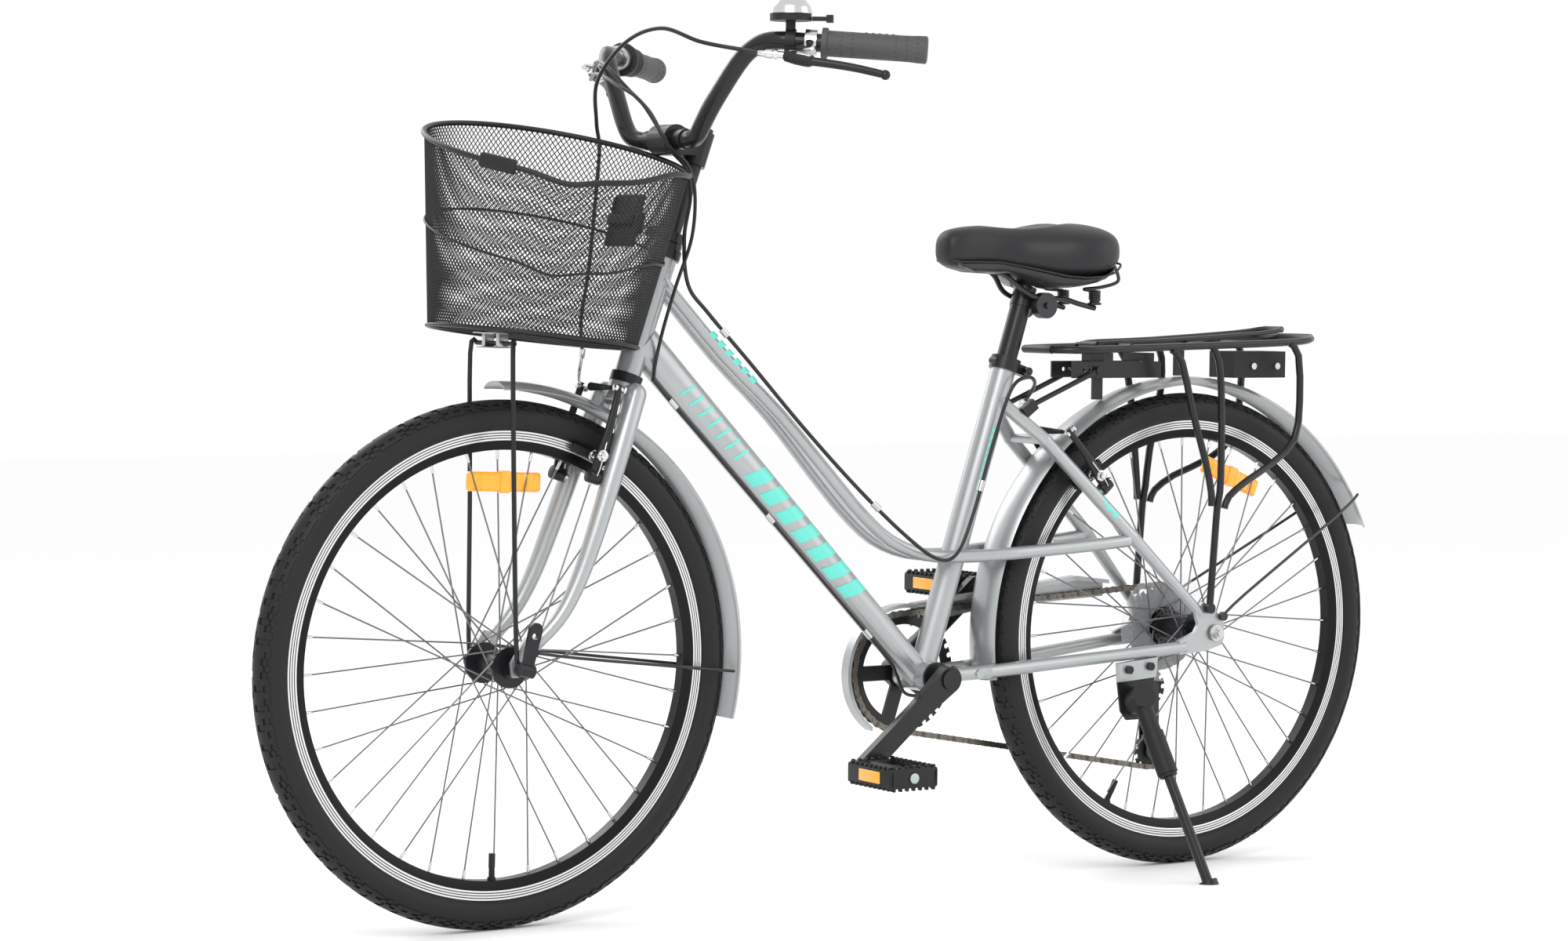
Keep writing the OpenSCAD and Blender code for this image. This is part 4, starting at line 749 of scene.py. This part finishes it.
chain_steel = surface("chain_steel", (0.24, 0.22, 0.19), 0.34, metal=0.9, second=(0.11, 0.10, 0.085),
                      grain=900, bump=0.1, blotch=60)
links = bmesh.new()
pins = [loop_at(loop_reach[-1] * k / link_count) for k in range(link_count)]
for k in range(link_count):
    a, b = pins[k], pins[(k + 1) % link_count]
    run = (b - a).normalized()
    up = Vector((-run.z, 0, run.x))
    middle, half = (a + b) / 2, (b - a).length / 2
    outer = k % 2
    outline = []
    for turn in range(-90, 91, 45):
        c = math.radians(turn)
        outline.append((half + 4.0 * math.cos(c), 4.0 * math.sin(c)))
    outline.append((0, 3.0))
    outline += [(-p, -q) for p, q in outline[:5]] + [(0, -3.0)]
    for side in (-1, 1):
        y0, y1 = side * (3.4 if outer else 2.3), side * (4.4 if outer else 3.3)
        near = [links.verts.new(middle + run * p + up * q + Vector((0, y0, 0))) for p, q in outline]
        far = [links.verts.new(middle + run * p + up * q + Vector((0, y1, 0))) for p, q in outline]
        links.faces.new(near)
        links.faces.new(list(reversed(far)))
        for i in range(len(outline)):
            j = (i + 1) % len(outline)
            links.faces.new((near[j], near[i], far[i], far[j]))
    ring = []
    for y in (-5.1, 5.1):
        ring.append([links.verts.new(a + run * 2.1 * math.cos(q) + up * 2.1 * math.sin(q) + Vector((0, y, 0)))
                     for q in [math.pi / 4 * i for i in range(8)]])
    links.faces.new(ring[0])
    links.faces.new(list(reversed(ring[1])))
    for i in range(8):
        links.faces.new((ring[0][(i + 1) % 8], ring[0][i], ring[1][i], ring[1][(i + 1) % 8]))
bmesh.ops.recalc_face_normals(links, faces=links.faces)
chain_links = from_shape("chain_links", links)
chain_links.data.materials.append(chain_steel)
lean_over(chain_links, "frame", ["chain"])


# Cables: wire in black plastic housing, 5 mm, clipped to the frame. The rear brake and
# shift cables leave the bar and run to the frame, fixed in place.
cable_sleeve = surface("cable_sleeve", (0.008, 0.008, 0.008), 0.3, second=(0.014, 0.014, 0.014), grain=1000,
                       bump=0.05, specular=0.4)
grip_tip = Vector((658, 311, 744))
grip_run = (grip_tip - Vector((812, 188, 756))).normalized()
drop_side = Vector((grip_run.y, -grip_run.x, 0)).normalized()
lever_drop = (drop_side * 0.8 + Vector((0, 0, -0.62))).normalized()
lever_pin = grip_tip - grip_run * 139 + lever_drop * 34
front_line = [lever_pin - 47 * grip_run - 4 * lever_drop, lever_pin - 76 * grip_run + Vector((0, -8, 6)),
              (876, 150, 752), (894, 90, 770), (902, 20, 756), (900, -50, 712), (868, -106, 664),
              (854, -122, 630),
              (852, -134, 568), (862, -132, 480), (884, -112, 420), (902, -80, 388), (910, -64, 376)]
brake_line = [(826, -185, 732), (846, -140, 742), (862, -90, 732), (862, -42, 704), (855, 0, 674),
              (848, 24, 640),
              (837, 30, 622), (820, 31, 604), (813, 30, 570), (820, 28, 520), (812, 25, 462), (780, 23, 426),
              (720, 24, 366), (640, 28, 283), (560, 34, 205), (490, 40, 144), (440, 42, 112), (408, 42, 118),
              (378, 36, 170), (345, 32, 260), (318, 34, 330), (290, 32, 345), (262, 10, 335), (248, -30, 310)]
shift_line = [(822, -200, 722), (846, -150, 726), (864, -100, 722), (872, -50, 708), (870, 0, 688),
              (862, 34, 652),
              (848, 42, 628), (826, 44, 608), (814, 42, 575), (814, 36, 520), (832, 29, 460), (850, 26, 400),
              (854, 15, 350), (841.7, 9, 333.5), (755.1, 9, 246.8), (668.6, 9, 159.9), (582.2, 9, 73.1),
              (495.6, 8, -13.7), (477, 6, -38), (462, 4, -64), (434, 0, -70), (400, -14, -66),
              (345, -30, -54),
              (200, -50, -43), (70, -68, -36), (30, -84, -46)]
front_cable = bent_tube("front_brake_cable", smooth_path(front_line, 8), 2.5, cable_sleeve, 4)
lean_over(front_cable, "front_end", ["front_cable"])
rear_lines = joined("rear_cables_run",
                    [bent_tube("rear_brake_cable", smooth_path(brake_line, 8), 2.5, cable_sleeve, 4),
                                        bent_tube("shift_cable", smooth_path(shift_line, 8), 2.2,
                                                  cable_sleeve, 4)])
lean_over(rear_lines, None, ["rear_cables"])
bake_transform(rear_lines)


# Saddle: foam under a smooth black vinyl cover on a moulded shell. The pad is a crowned
# form with a narrow nose and two lobes behind, blown up a little under its cover.
vinyl = surface("saddle_vinyl", (0.012, 0.012, 0.014), 0.4, second=(0.019, 0.019, 0.021), grain=1900,
                bump=0.26, specular=0.34)
def skin_rings(shape, rings):
    """Quads between each closed ring of points and the next."""
    for r0, r1 in zip(rings, rings[1:]):
        for k in range(len(r0)):
            shape.faces.new((r0[k], r0[(k + 1) % len(r0)], r1[(k + 1) % len(r0)], r1[k]))


stations = [  # distance back from the nose, half width, top, underside
    (0, 12, 524, 498), (5, 20, 533, 491), (16, 25, 538, 487), (40, 28, 540, 487), (75, 31, 537, 487),
    (105, 41, 535, 482),
    (130, 58, 536, 476), (152, 76, 539, 470), (175, 89, 543, 468), (200, 93, 546, 470), (222, 90, 545, 476),
    (240, 76, 541, 484), (252, 55, 534, 492), (256, 30, 526, 500)]
pad = bmesh.new()
rounds = []
for back, half, top, under in stations:
    ring = []
    for k in range(32):
        a = 2 * math.pi * k / 32
        c, s = math.cos(a), math.sin(a)
        y = half * math.copysign(abs(c) ** 0.72, c)
        middle = top - (top - under) * 0.58
        rise = (top - middle) if s > 0 else (middle - under)
        z = middle + rise * math.copysign(abs(s) ** (0.62 if s > 0 else 0.8), s)
        if s > 0 and back > 110:
            z -= 5.5 * math.exp(-(y / 13) ** 2) * min(1, (back - 110) / 60)
        ring.append(pad.verts.new((412 - back, y, z)))
    rounds.append(ring)
skin_rings(pad, rounds)
pad.faces.new(rounds[0])
pad.faces.new(list(reversed(rounds[-1])))
bmesh.ops.recalc_face_normals(pad, faces=pad.faces)
saddle_pad = from_shape("saddle_pad", pad)
saddle_pad.data.transform(upright @ mm)
apply_modifier(saddle_pad, "SUBSURF", levels=2, render_levels=2)
apply_modifier(saddle_pad, "REMESH", mode="VOXEL", voxel_size=0.004)
rest_places = [v.co.copy() for v in saddle_pad.data.vertices]
bpy.ops.object.modifier_add(type="CLOTH")
cover = saddle_pad.modifiers[-1]
cover.settings.use_pressure = True
cover.settings.uniform_pressure_force = 4.0
cover.settings.effector_weights.gravity = 0
cover.settings.quality = 6
for tick in range(1, 16):
    scene.frame_set(tick)
blown = saddle_pad.evaluated_get(bpy.context.evaluated_depsgraph_get())
blown_places = [v.co.copy() for v in blown.data.vertices]
saddle_pad.modifiers.remove(cover)
scene.frame_set(1)
for vert, rest_place, blown_place in zip(saddle_pad.data.vertices, rest_places, blown_places):
    move = blown_place - rest_place
    if move.length > 0.005:
        move *= 0.005 / move.length
    vert.co = rest_place + move
apply_modifier(saddle_pad, "SMOOTH", iterations=4)
apply_modifier(saddle_pad, "SUBSURF", levels=1, render_levels=1)
bpy.ops.object.shade_smooth()
saddle_pad.data.materials.append(vinyl)
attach(saddle_pad, "saddle")
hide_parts("saddle_cushion")


# Saddle shell: a moulded plastic plate under the pad that shows along the back edge,
# with a seam bead of the cover's vinyl round it.
skirt_points = []
for turn in range(0, 360, 6):
    a = math.radians(turn)
    back = 128 - 122 * math.cos(a)
    half = 0.0
    for (b0, h0, _, u0), (b1, h1, _, u1) in zip(stations, stations[1:]):
        if b0 <= back <= b1:
            half = h0 + (h1 - h0) * (back - b0) / (b1 - b0)
            under = u0 + (u1 - u0) * (back - b0) / (b1 - b0)
    side = 1 if turn < 180 else -1
    skirt_points.append(Vector((412 - back, side * (half - 1.5) * min(1, abs(math.sin(a)) * 3 + 0.15), under
                                + 8)))
seam = bent_tube("saddle_seam", smooth_path(skirt_points + skirt_points[:1], 3)[:-1], 1.5, vinyl, 3, True)
lean_over(seam, "saddle")
shell_plate = bmesh.new()
shell_rings = []
for inset, drop in ((0.94, 4.5), (0.90, 0), (0.72, -5), (0.35, -7)):
    shell_rings.append([shell_plate.verts.new((284 + (p.x - 284) * inset, p.y * inset, p.z - 6 + drop))
                        for p in skirt_points])
skin_rings(shell_plate, shell_rings)
shell_plate.faces.new(shell_rings[-1])
bmesh.ops.recalc_face_normals(shell_plate, faces=shell_plate.faces)
saddle_base = from_shape("saddle_base", shell_plate)
apply_modifier(saddle_base, "SOLIDIFY", thickness=2.4)
bpy.ops.object.shade_smooth_by_angle(angle=math.radians(40))
shell_plastic = surface("shell_plastic", (0.014, 0.014, 0.015), 0.26, second=(0.024, 0.024, 0.026),
                        grain=2600, bump=0.12)
saddle_base.data.materials.append(shell_plastic)
lean_over(saddle_base, "saddle", ["saddle_shell"])


# Saddle springs: wound black wire under the back of the shell, each coil seated in a
# turned cup on the end of its rail.
def turned(name, start, end, rings, finish, sides=24):
    """A turned part on the line from start to end: rings are (distance, radius)."""
    start, end = Vector(start), Vector(end)
    run = (end - start).normalized()
    u = run.orthogonal().normalized()
    w = run.cross(u)
    work = bmesh.new()
    rows = [[work.verts.new(start + run * s
                            + (u * math.cos(2 * math.pi * k / sides)
                               + w * math.sin(2 * math.pi * k / sides)) * r)
             for k in range(sides)] for s, r in rings]
    skin_rings(work, rows)
    work.faces.new(rows[0])
    work.faces.new(list(reversed(rows[-1])))
    bmesh.ops.recalc_face_normals(work, faces=work.faces)
    piece = from_shape(name, work)
    bpy.ops.object.shade_smooth_by_angle(angle=math.radians(40))
    piece.data.materials.append(finish)
    return piece


coils = []
for side in (1, -1):
    coil = [(183 + 6.6 * math.cos(k * 0.5), side * 34 + 6.6 * math.sin(k * 0.5), 446 + 13 * k / 60)
            for k in range(61)]
    coils.append(bent_tube("coil", coil, 1.7, dark_steel, 3))
    arm = smooth_path([(184, side * 34, 459), (207, side * 42, 461), (188, side * 55, 464),
                       (166, side * 60, 471),
                       (168, side * 63, 482), (176, side * 64, 494)], 6)
    coils.append(bent_tube("arm", arm, 2.3, dark_steel, 3))
    coils.append(turned("spring_foot", (183, side * 34, 440), (183, side * 34, 448),
                        [(0, 6), (0.6, 9.2), (3, 9.4), (3.6, 7), (6, 6.6), (8, 5.6)], dark_steel, 24))
springs = joined("saddle_springs_wire", coils)
lean_over(springs, "saddle", ["saddle_springs"])


# Grips: soft rubber sleeves with a flared end, five raised lozenges on top and rows of
# dimples below. The right one is shorter, to leave room for the twist shifter.
def grip_sleeve(name, length, side):
    """A grip from the bar's end inward, for the left (1) or right (-1)."""
    skin = bmesh.new()
    u = (Vector((0, 0, 1)) - grip_run * grip_run.z).normalized()
    w = grip_run.cross(u)
    rows = []
    count = int(length / 1.25)
    for i in range(count + 1):
        s = length * i / count
        ring = []
        for k in range(64):
            a = 2 * math.pi * k / 64
            r = 15.6 + 0.9 * math.exp(-((s - 6) / 12) ** 2)
            if s > length - 7:
                r = 18.6
            if s < 3:
                r = 16.9 - 0.25 * (3 - s) ** 2
            if length * 0.3 < s < length * 0.3 + 40:
                ridge = (s - length * 0.3) % 8 - 4
                spread = math.degrees(min(abs(a - 0.5), 2 * math.pi - abs(a - 0.5)))
                r += max(0, 1.9 * (1 - abs(ridge) / 3.4 - spread / 52))
            else:
                dot_s = (s - 5) % 13 - 6.5
                dot_a = ((math.degrees(a) + (6 if int((s - 5) / 13) % 2 else 18)) % 24) - 12
                if 10 < s < length - 12 and math.hypot(dot_s, dot_a * 0.28) < 1.5:
                    r -= 1.1
            ring.append(skin.verts.new(grip_tip - grip_run * s + (u * math.cos(a) + w * math.sin(a)) * r))
        rows.append(ring)
    skin_rings(skin, rows)
    skin.faces.new(rows[0])
    hole = [skin.verts.new(grip_tip - grip_run * length + (u * math.cos(q) + w * math.sin(q)) * 11.3)
            for q in [2 * math.pi * k / 64 for k in range(64)]]
    skin_rings(skin, [rows[-1], hole])
    if side < 0:
        bmesh.ops.scale(skin, vec=(1, -1, 1), verts=skin.verts)
    bmesh.ops.recalc_face_normals(skin, faces=skin.faces)
    piece = from_shape(name, skin)
    bpy.ops.object.shade_smooth_by_angle(angle=math.radians(50))
    piece.data.materials.append(grip_rubber)
    return piece


grip_rubber = surface("grip_rubber", (0.045, 0.045, 0.047), 0.58, second=(0.07, 0.07, 0.073), grain=2400,
                      bump=0.25)
lean_over(grip_sleeve("grip_left_sleeve", 126, 1), "front_end", ["grip_left"])
lean_over(grip_sleeve("grip_right_sleeve", 94, -1), "front_end", ["grip_right"])


# Brake brackets: forged silver clamps with two black socket bolts, a knurled adjuster
# and its lock ring where the cable enters.
def mirrored(piece):
    """The piece turned into its mirror image across the bicycle."""
    piece.data.transform(Matrix.Scale(-1, 4, (0, 1, 0)))
    pick(piece)
    face_outward()
    return piece


bracket_at = grip_tip - 139 * grip_run
lever_face = grip_run.cross(lever_drop).normalized()
for side in (1, -1):
    side_name = "left" if side == 1 else "right"
    bolts = []
    for spot in (bracket_at + 15 * lever_drop - 1 * grip_run, bracket_at + 24 * lever_drop - 12 * grip_run):
        bolts.append(turned("bolt", spot - 12 * lever_face, spot + 12 * lever_face,
                            [(0, 3), (0.4, 4.4), (2.4, 4.6), (3.2, 3.6), (20.8, 3.6), (21.6, 4.6),
                             (23.6, 4.4), (24, 3)], dark_steel))
    barrel_start = lever_pin - 46 * grip_run - 4 * lever_drop
    adjuster = turned("adjuster", barrel_start + 12 * grip_run, barrel_start - 16 * grip_run,
                      [(0, 4.4), (4, 4.6), (4.2, 6.2), (8, 6.4), (8.2, 4.6), (10, 4.6), (10.4, 6.0),
                       (18, 5.4), (19, 4.2), (27, 3.6), (28, 3)], nickel, 20)
    body = turned("lever_body", lever_pin - 30 * grip_run - 4 * lever_drop, lever_pin + 6 * grip_run
                  + 5 * lever_drop,
                  [(0, 5.5), (2, 7.2), (14, 8.4), (26, 8.6), (34, 7.4), (37, 5)], black_plastic, 24)
    kit = joined("brake_kit_" + side_name, bolts + [adjuster, body])
    if side < 0:
        mirrored(kit)
    lean_over(kit, "front_end")


# Rim brakes: forged black arms on studs, rubber shoes with bright bolts and washers. A
# bright curved guide turns each cable across to the far arm through a ribbed rubber boot.
shoe_y = 19.4


def forged_arm(name, post, up, pin, axle_x, reach, length, side):
    """A brake arm on its stud, with shoe, bolts and return spring."""
    post, up, pin = Vector(post), Vector(up).normalized(), Vector(pin).normalized()
    out = Vector((0, 1, 0))
    blade = bmesh.new()
    rows = []
    for s, wide, deep, bulge in ((-7, 5, 4, 0), (0, 8.4, 5, 0), (10, 7, 5, 1), (24, 7.6, 5, 2.5),
                                 (38, 7, 4.4, 4), (56, 5.6, 4, 5),
                                 (76, 5, 3.6, 4), (0.93 * length, 4.6, 3.4, 1.5), (length, 4.8, 3.6, 0),
                                 (length + 5, 3, 2.6, 0)):
        middle = post + up * s + out * bulge
        rows.append([blade.verts.new(middle + pin * wide * math.cos(a) + out * deep * math.sin(a))
                     for a in [2 * math.pi * k / 14 for k in range(14)]])
    skin_rings(blade, rows)
    blade.faces.new(rows[0])
    blade.faces.new(list(reversed(rows[-1])))
    bmesh.ops.recalc_face_normals(blade, faces=blade.faces)
    arm = from_shape(name, blade)
    bpy.ops.object.shade_smooth_by_angle(angle=math.radians(50))
    arm.data.materials.append(black_alloy)
    spot = post + up * reach
    lean_in = math.atan2(spot.z, spot.x - axle_x)
    shoe = block("shoe", (-4.5, -4, -27), (4.5, 4, 27), tyre_rubber, 1.8)
    grooves = [block("shoe_rib", (-5, -4.4, z - 2), (5, 1, z + 2), tyre_rubber, 0.8, 1)
               for z in (-18, -6, 6, 18)]
    for part in [shoe] + grooves:
        part.data.transform(Matrix.Translation((spot.x, shoe_y, spot.z)) @ Matrix.Rotation(-lean_in, 4, "Y"))
    stud = Vector((spot.x, 0, spot.z))
    fixing = turned("shoe_bolt", stud + out * (shoe_y + 3), stud + out * (post.y + 15),
                    [(0, 3), (4, 3), (4.2, 6.4), (6.4, 6.8), (8.6, 6.4), (8.8, 5), (post.y - shoe_y + 3, 5),
                     (post.y - shoe_y + 3.2, 7.2),
                     (post.y - shoe_y + 5.6, 7.2), (post.y - shoe_y + 5.8, 5), (post.y - shoe_y + 11, 4.6),
                     (post.y - shoe_y + 12, 3)], nickel, 18)
    boss = turned("boss", post - pin * 9, post + pin * 9,
                  [(0, 6), (0.6, 8.2), (4, 8.5), (14, 8.5), (17.4, 8.2), (18, 6)], black_alloy, 28)
    bolt = turned("pivot_bolt", post - pin * 9, post - pin * 14,
                  [(0, 4), (0.4, 6.2), (2, 6.4), (2.2, 4.8), (4.6, 4.6), (5, 3)], nickel, 18)
    tip = post + up * length
    clamp = turned("anchor_bolt", tip - pin * 9, tip + pin * 7,
                   [(0, 3), (0.5, 5), (3.4, 5.2), (3.6, 3.2), (12, 3.2), (12.2, 4.4), (15.4, 4.4), (16, 3)],
                   nickel, 16)
    wire = bent_tube("return_spring",
                     smooth_path([post + out * 7, post + out * 10 + up * 14, post + out * 8 + up * 42, post
                                  + out * 5 + up * 60], 6),
                     0.9, nickel, 2)
    whole = joined(name, [arm, shoe] + grooves + [fixing, boss, bolt, clamp, wire])
    if side < 0:
        mirrored(whole)
    return whole


front_stud, front_rise, front_stud_run = (956, 44, 228), (-0.3, 0.012, 0.95), (0.95, 0, 0.3)
rear_stud, rear_rise, rear_stud_run = (166.5, 42, 199.5), (0.65, 0.02, 0.76), (0.76, 0, -0.65)
for end, stud_at, rise, stud_run, axle_x, reach, length, guide_line in (
        ("front", front_stud, front_rise, front_stud_run, wheelbase, 27, 112,
         [(910, -63, 378), (912, -64, 364), (915, -63, 350), (919, -56, 340), (921, -46, 336),
          (922, -34, 335.5), (922, -22, 335.5)]),
        ("rear", rear_stud, rear_rise, rear_stud_run, 0, 20, 96,
         [(250, -28, 313), (246, -44, 306), (238, -56, 294), (232, -57, 283), (229.5, -48, 275),
          (229, -36, 272.5), (229, -20, 272.5)])):
    left_arm = forged_arm(end + "_arm_left_forged", stud_at, rise, stud_run, axle_x, reach, length, 1)
    right_arm = forged_arm(end + "_arm_right_forged", stud_at, rise, stud_run, axle_x, reach, length, -1)
    guide = bent_tube("guide", smooth_path(guide_line, 6), 2.3, nickel, 4)
    entry = turned("guide_entry", guide_line[0], guide_line[1], [(-3, 2.6), (-2.6, 3.8), (8, 3.8), (9, 3)],
                   nickel, 18)
    boot_start, boot_end = Vector(guide_line[-1]) - Vector((0, 3, 0)), Vector(guide_line[-1]) + Vector((0, 52,
                                                                                                        0))
    boot = turned("boot", boot_start, boot_end, [(0, 3)]
                  + [(1 + 2 * k, 5.4 - 0.1 * k if k % 2 else 4.2 - 0.07 * k) for k in range(26)]
                  + [(53, 2.2), (55, 1.6)],
                  tyre_rubber, 20)
    right_arm = joined(end + "_arm_right_forged", [right_arm, guide, entry, boot])
    lean_over(left_arm, end + "_arm_left", [end + "_arm_left"])
    lean_over(right_arm, end + "_arm_right", [end + "_arm_right"])


# Twist shifter: a black ribbed plastic drum inboard of the right grip, with one silver
# ring. It turns on the bar.
shift_rings = [(0, 16.9), (1, 18.4)]
for k in range(9):
    shift_rings += [(1.6 + 2.6 * k, 18.4), (2.2 + 2.6 * k, 19.2), (3.4 + 2.6 * k, 19.2),
                    (3.8 + 2.6 * k, 18.4)]
shift_rings += [(25, 18.2), (25.4, 21.4), (31, 22), (33, 21), (33.4, 17)]
drum = turned("shift_drum", grip_tip - 95 * grip_run, grip_tip - 129 * grip_run, shift_rings, black_plastic,
              48)
collar = turned("shift_ring", grip_tip - 118.6 * grip_run, grip_tip - 121 * grip_run,
                [(0, 19.4), (0.3, 20), (2, 20), (2.4, 19.4)], nickel, 48)
drum = mirrored(joined("shift_drum", [drum, collar]))
lean_over(drum, "shifter", ["shifter"])


# Pedals: moulded black cages with a toothed edge, amber reflectors front and back, a
# boss round the axle and a pale end cap. A red mark shows on the left crank's end.
def pedal_cage(name):
    """A pedal with its axle, drawn along the axle from the crank."""
    bars = []
    for s in (-1, 1):
        bars.append(block("rail", (s * 33 - 3.5, 28, -11), (s * 33 + 3.5, 120, 11), black_plastic, 1.6))
        for k in range(9):
            for z in (-1, 1):
                bars.append(block("tooth", (s * 33 - 3.4, 31 + 10 * k, z * 12 - 3),
                                  (s * 33 + 3.4, 35.5 + 10 * k, z * 12 + 3), black_plastic, 0.9, 1))
        bars.append(block("lens", (s * 36.2 - 1.4, 52, -7.5), (s * 36.2 + 1.4, 98, 7.5), amber_painted_glow, 1))
        bars.append(block("lens_frame", (s * 36 - 1, 49, -9.5), (s * 36 + 1, 101, 9.5), black_plastic, 1))
    for y in (28, 117):
        bars.append(block("end", (-36, y - 3, -12.5), (36, y + 3, 12.5), black_plastic, 1.8))
        for k in range(7):
            for z in (-1, 1):
                bars.append(block("tooth", (-33 + 10 * k, y - 2.8, z * 13.5 - 2.5),
                                  (-29 + 10 * k, y + 2.8, z * 13.5 + 2.5), black_plastic, 0.8, 1))
    for y in (50, 74, 98):
        bars.append(block("web", (-34, y - 2.5, -8), (34, y + 2.5, 8), black_plastic, 1.2))
    bars.append(turned("boss", (0, 26, 0), (0, 121, 0),
                       [(0, 9), (2, 12), (10, 12.5), (84, 11), (92, 10), (95, 8)], black_plastic, 28))
    bars.append(turned("end_cap", (0, 118, 0), (0, 123, 0), [(0, 6.5), (3.6, 6.5), (4.8, 5)], pale_plastic,
                       24))
    bars.append(turned("axle", (0, 4, 0), (0, 27, 0), [(0, 6.9), (12, 6.9), (13, 8.4), (20, 8.4), (23, 7)],
                       dark_steel, 24))
    return joined(name, bars)


pale_plastic = surface("pale_cap", (0.42, 0.5, 0.46), 0.4, second=(0.36, 0.44, 0.4), grain=900, bump=0.05)
red_enamel = surface("red_enamel", (0.6, 0.03, 0.02), 0.35, second=(0.48, 0.02, 0.02), grain=800, bump=0.05)
crank_tilt = math.radians(38.6)
left_pedal = pedal_cage("pedal_left_cage")
left_pedal.data.transform(Matrix.Translation((434 + crank_length * math.cos(crank_tilt), 56,
                                              -43 - crank_length * math.sin(crank_tilt))))
right_pedal = left_pedal.copy()
right_pedal.data = left_pedal.data.copy()
right_pedal.name = "pedal_right_cage"
scene.collection.objects.link(right_pedal)
right_pedal.data.transform(Matrix.Translation((-2 * crank_length * math.cos(crank_tilt), 0,
                                               2 * crank_length * math.sin(crank_tilt))))
mirrored(right_pedal)
lean_over(left_pedal, "pedal_left", ["pedal_left"])
lean_over(right_pedal, "pedal_right", ["pedal_right"])
crank_end = Vector((434 + crank_length * math.cos(crank_tilt), 0, -43 - crank_length * math.sin(crank_tilt)))
red_mark = turned("crank_mark", crank_end + Vector((0, 71.5, 0)), crank_end + Vector((0, 74.5, 0)),
                  [(0, 9), (0.6, 10), (2.6, 10), (3, 9)], red_enamel, 28)
lean_over(red_mark, "cranks")


# Saddle rails: bent dark steel wire under the shell, with the clamp that holds them on
# the seat post.
refine("saddle_rails", dark_steel, "saddle", 60)
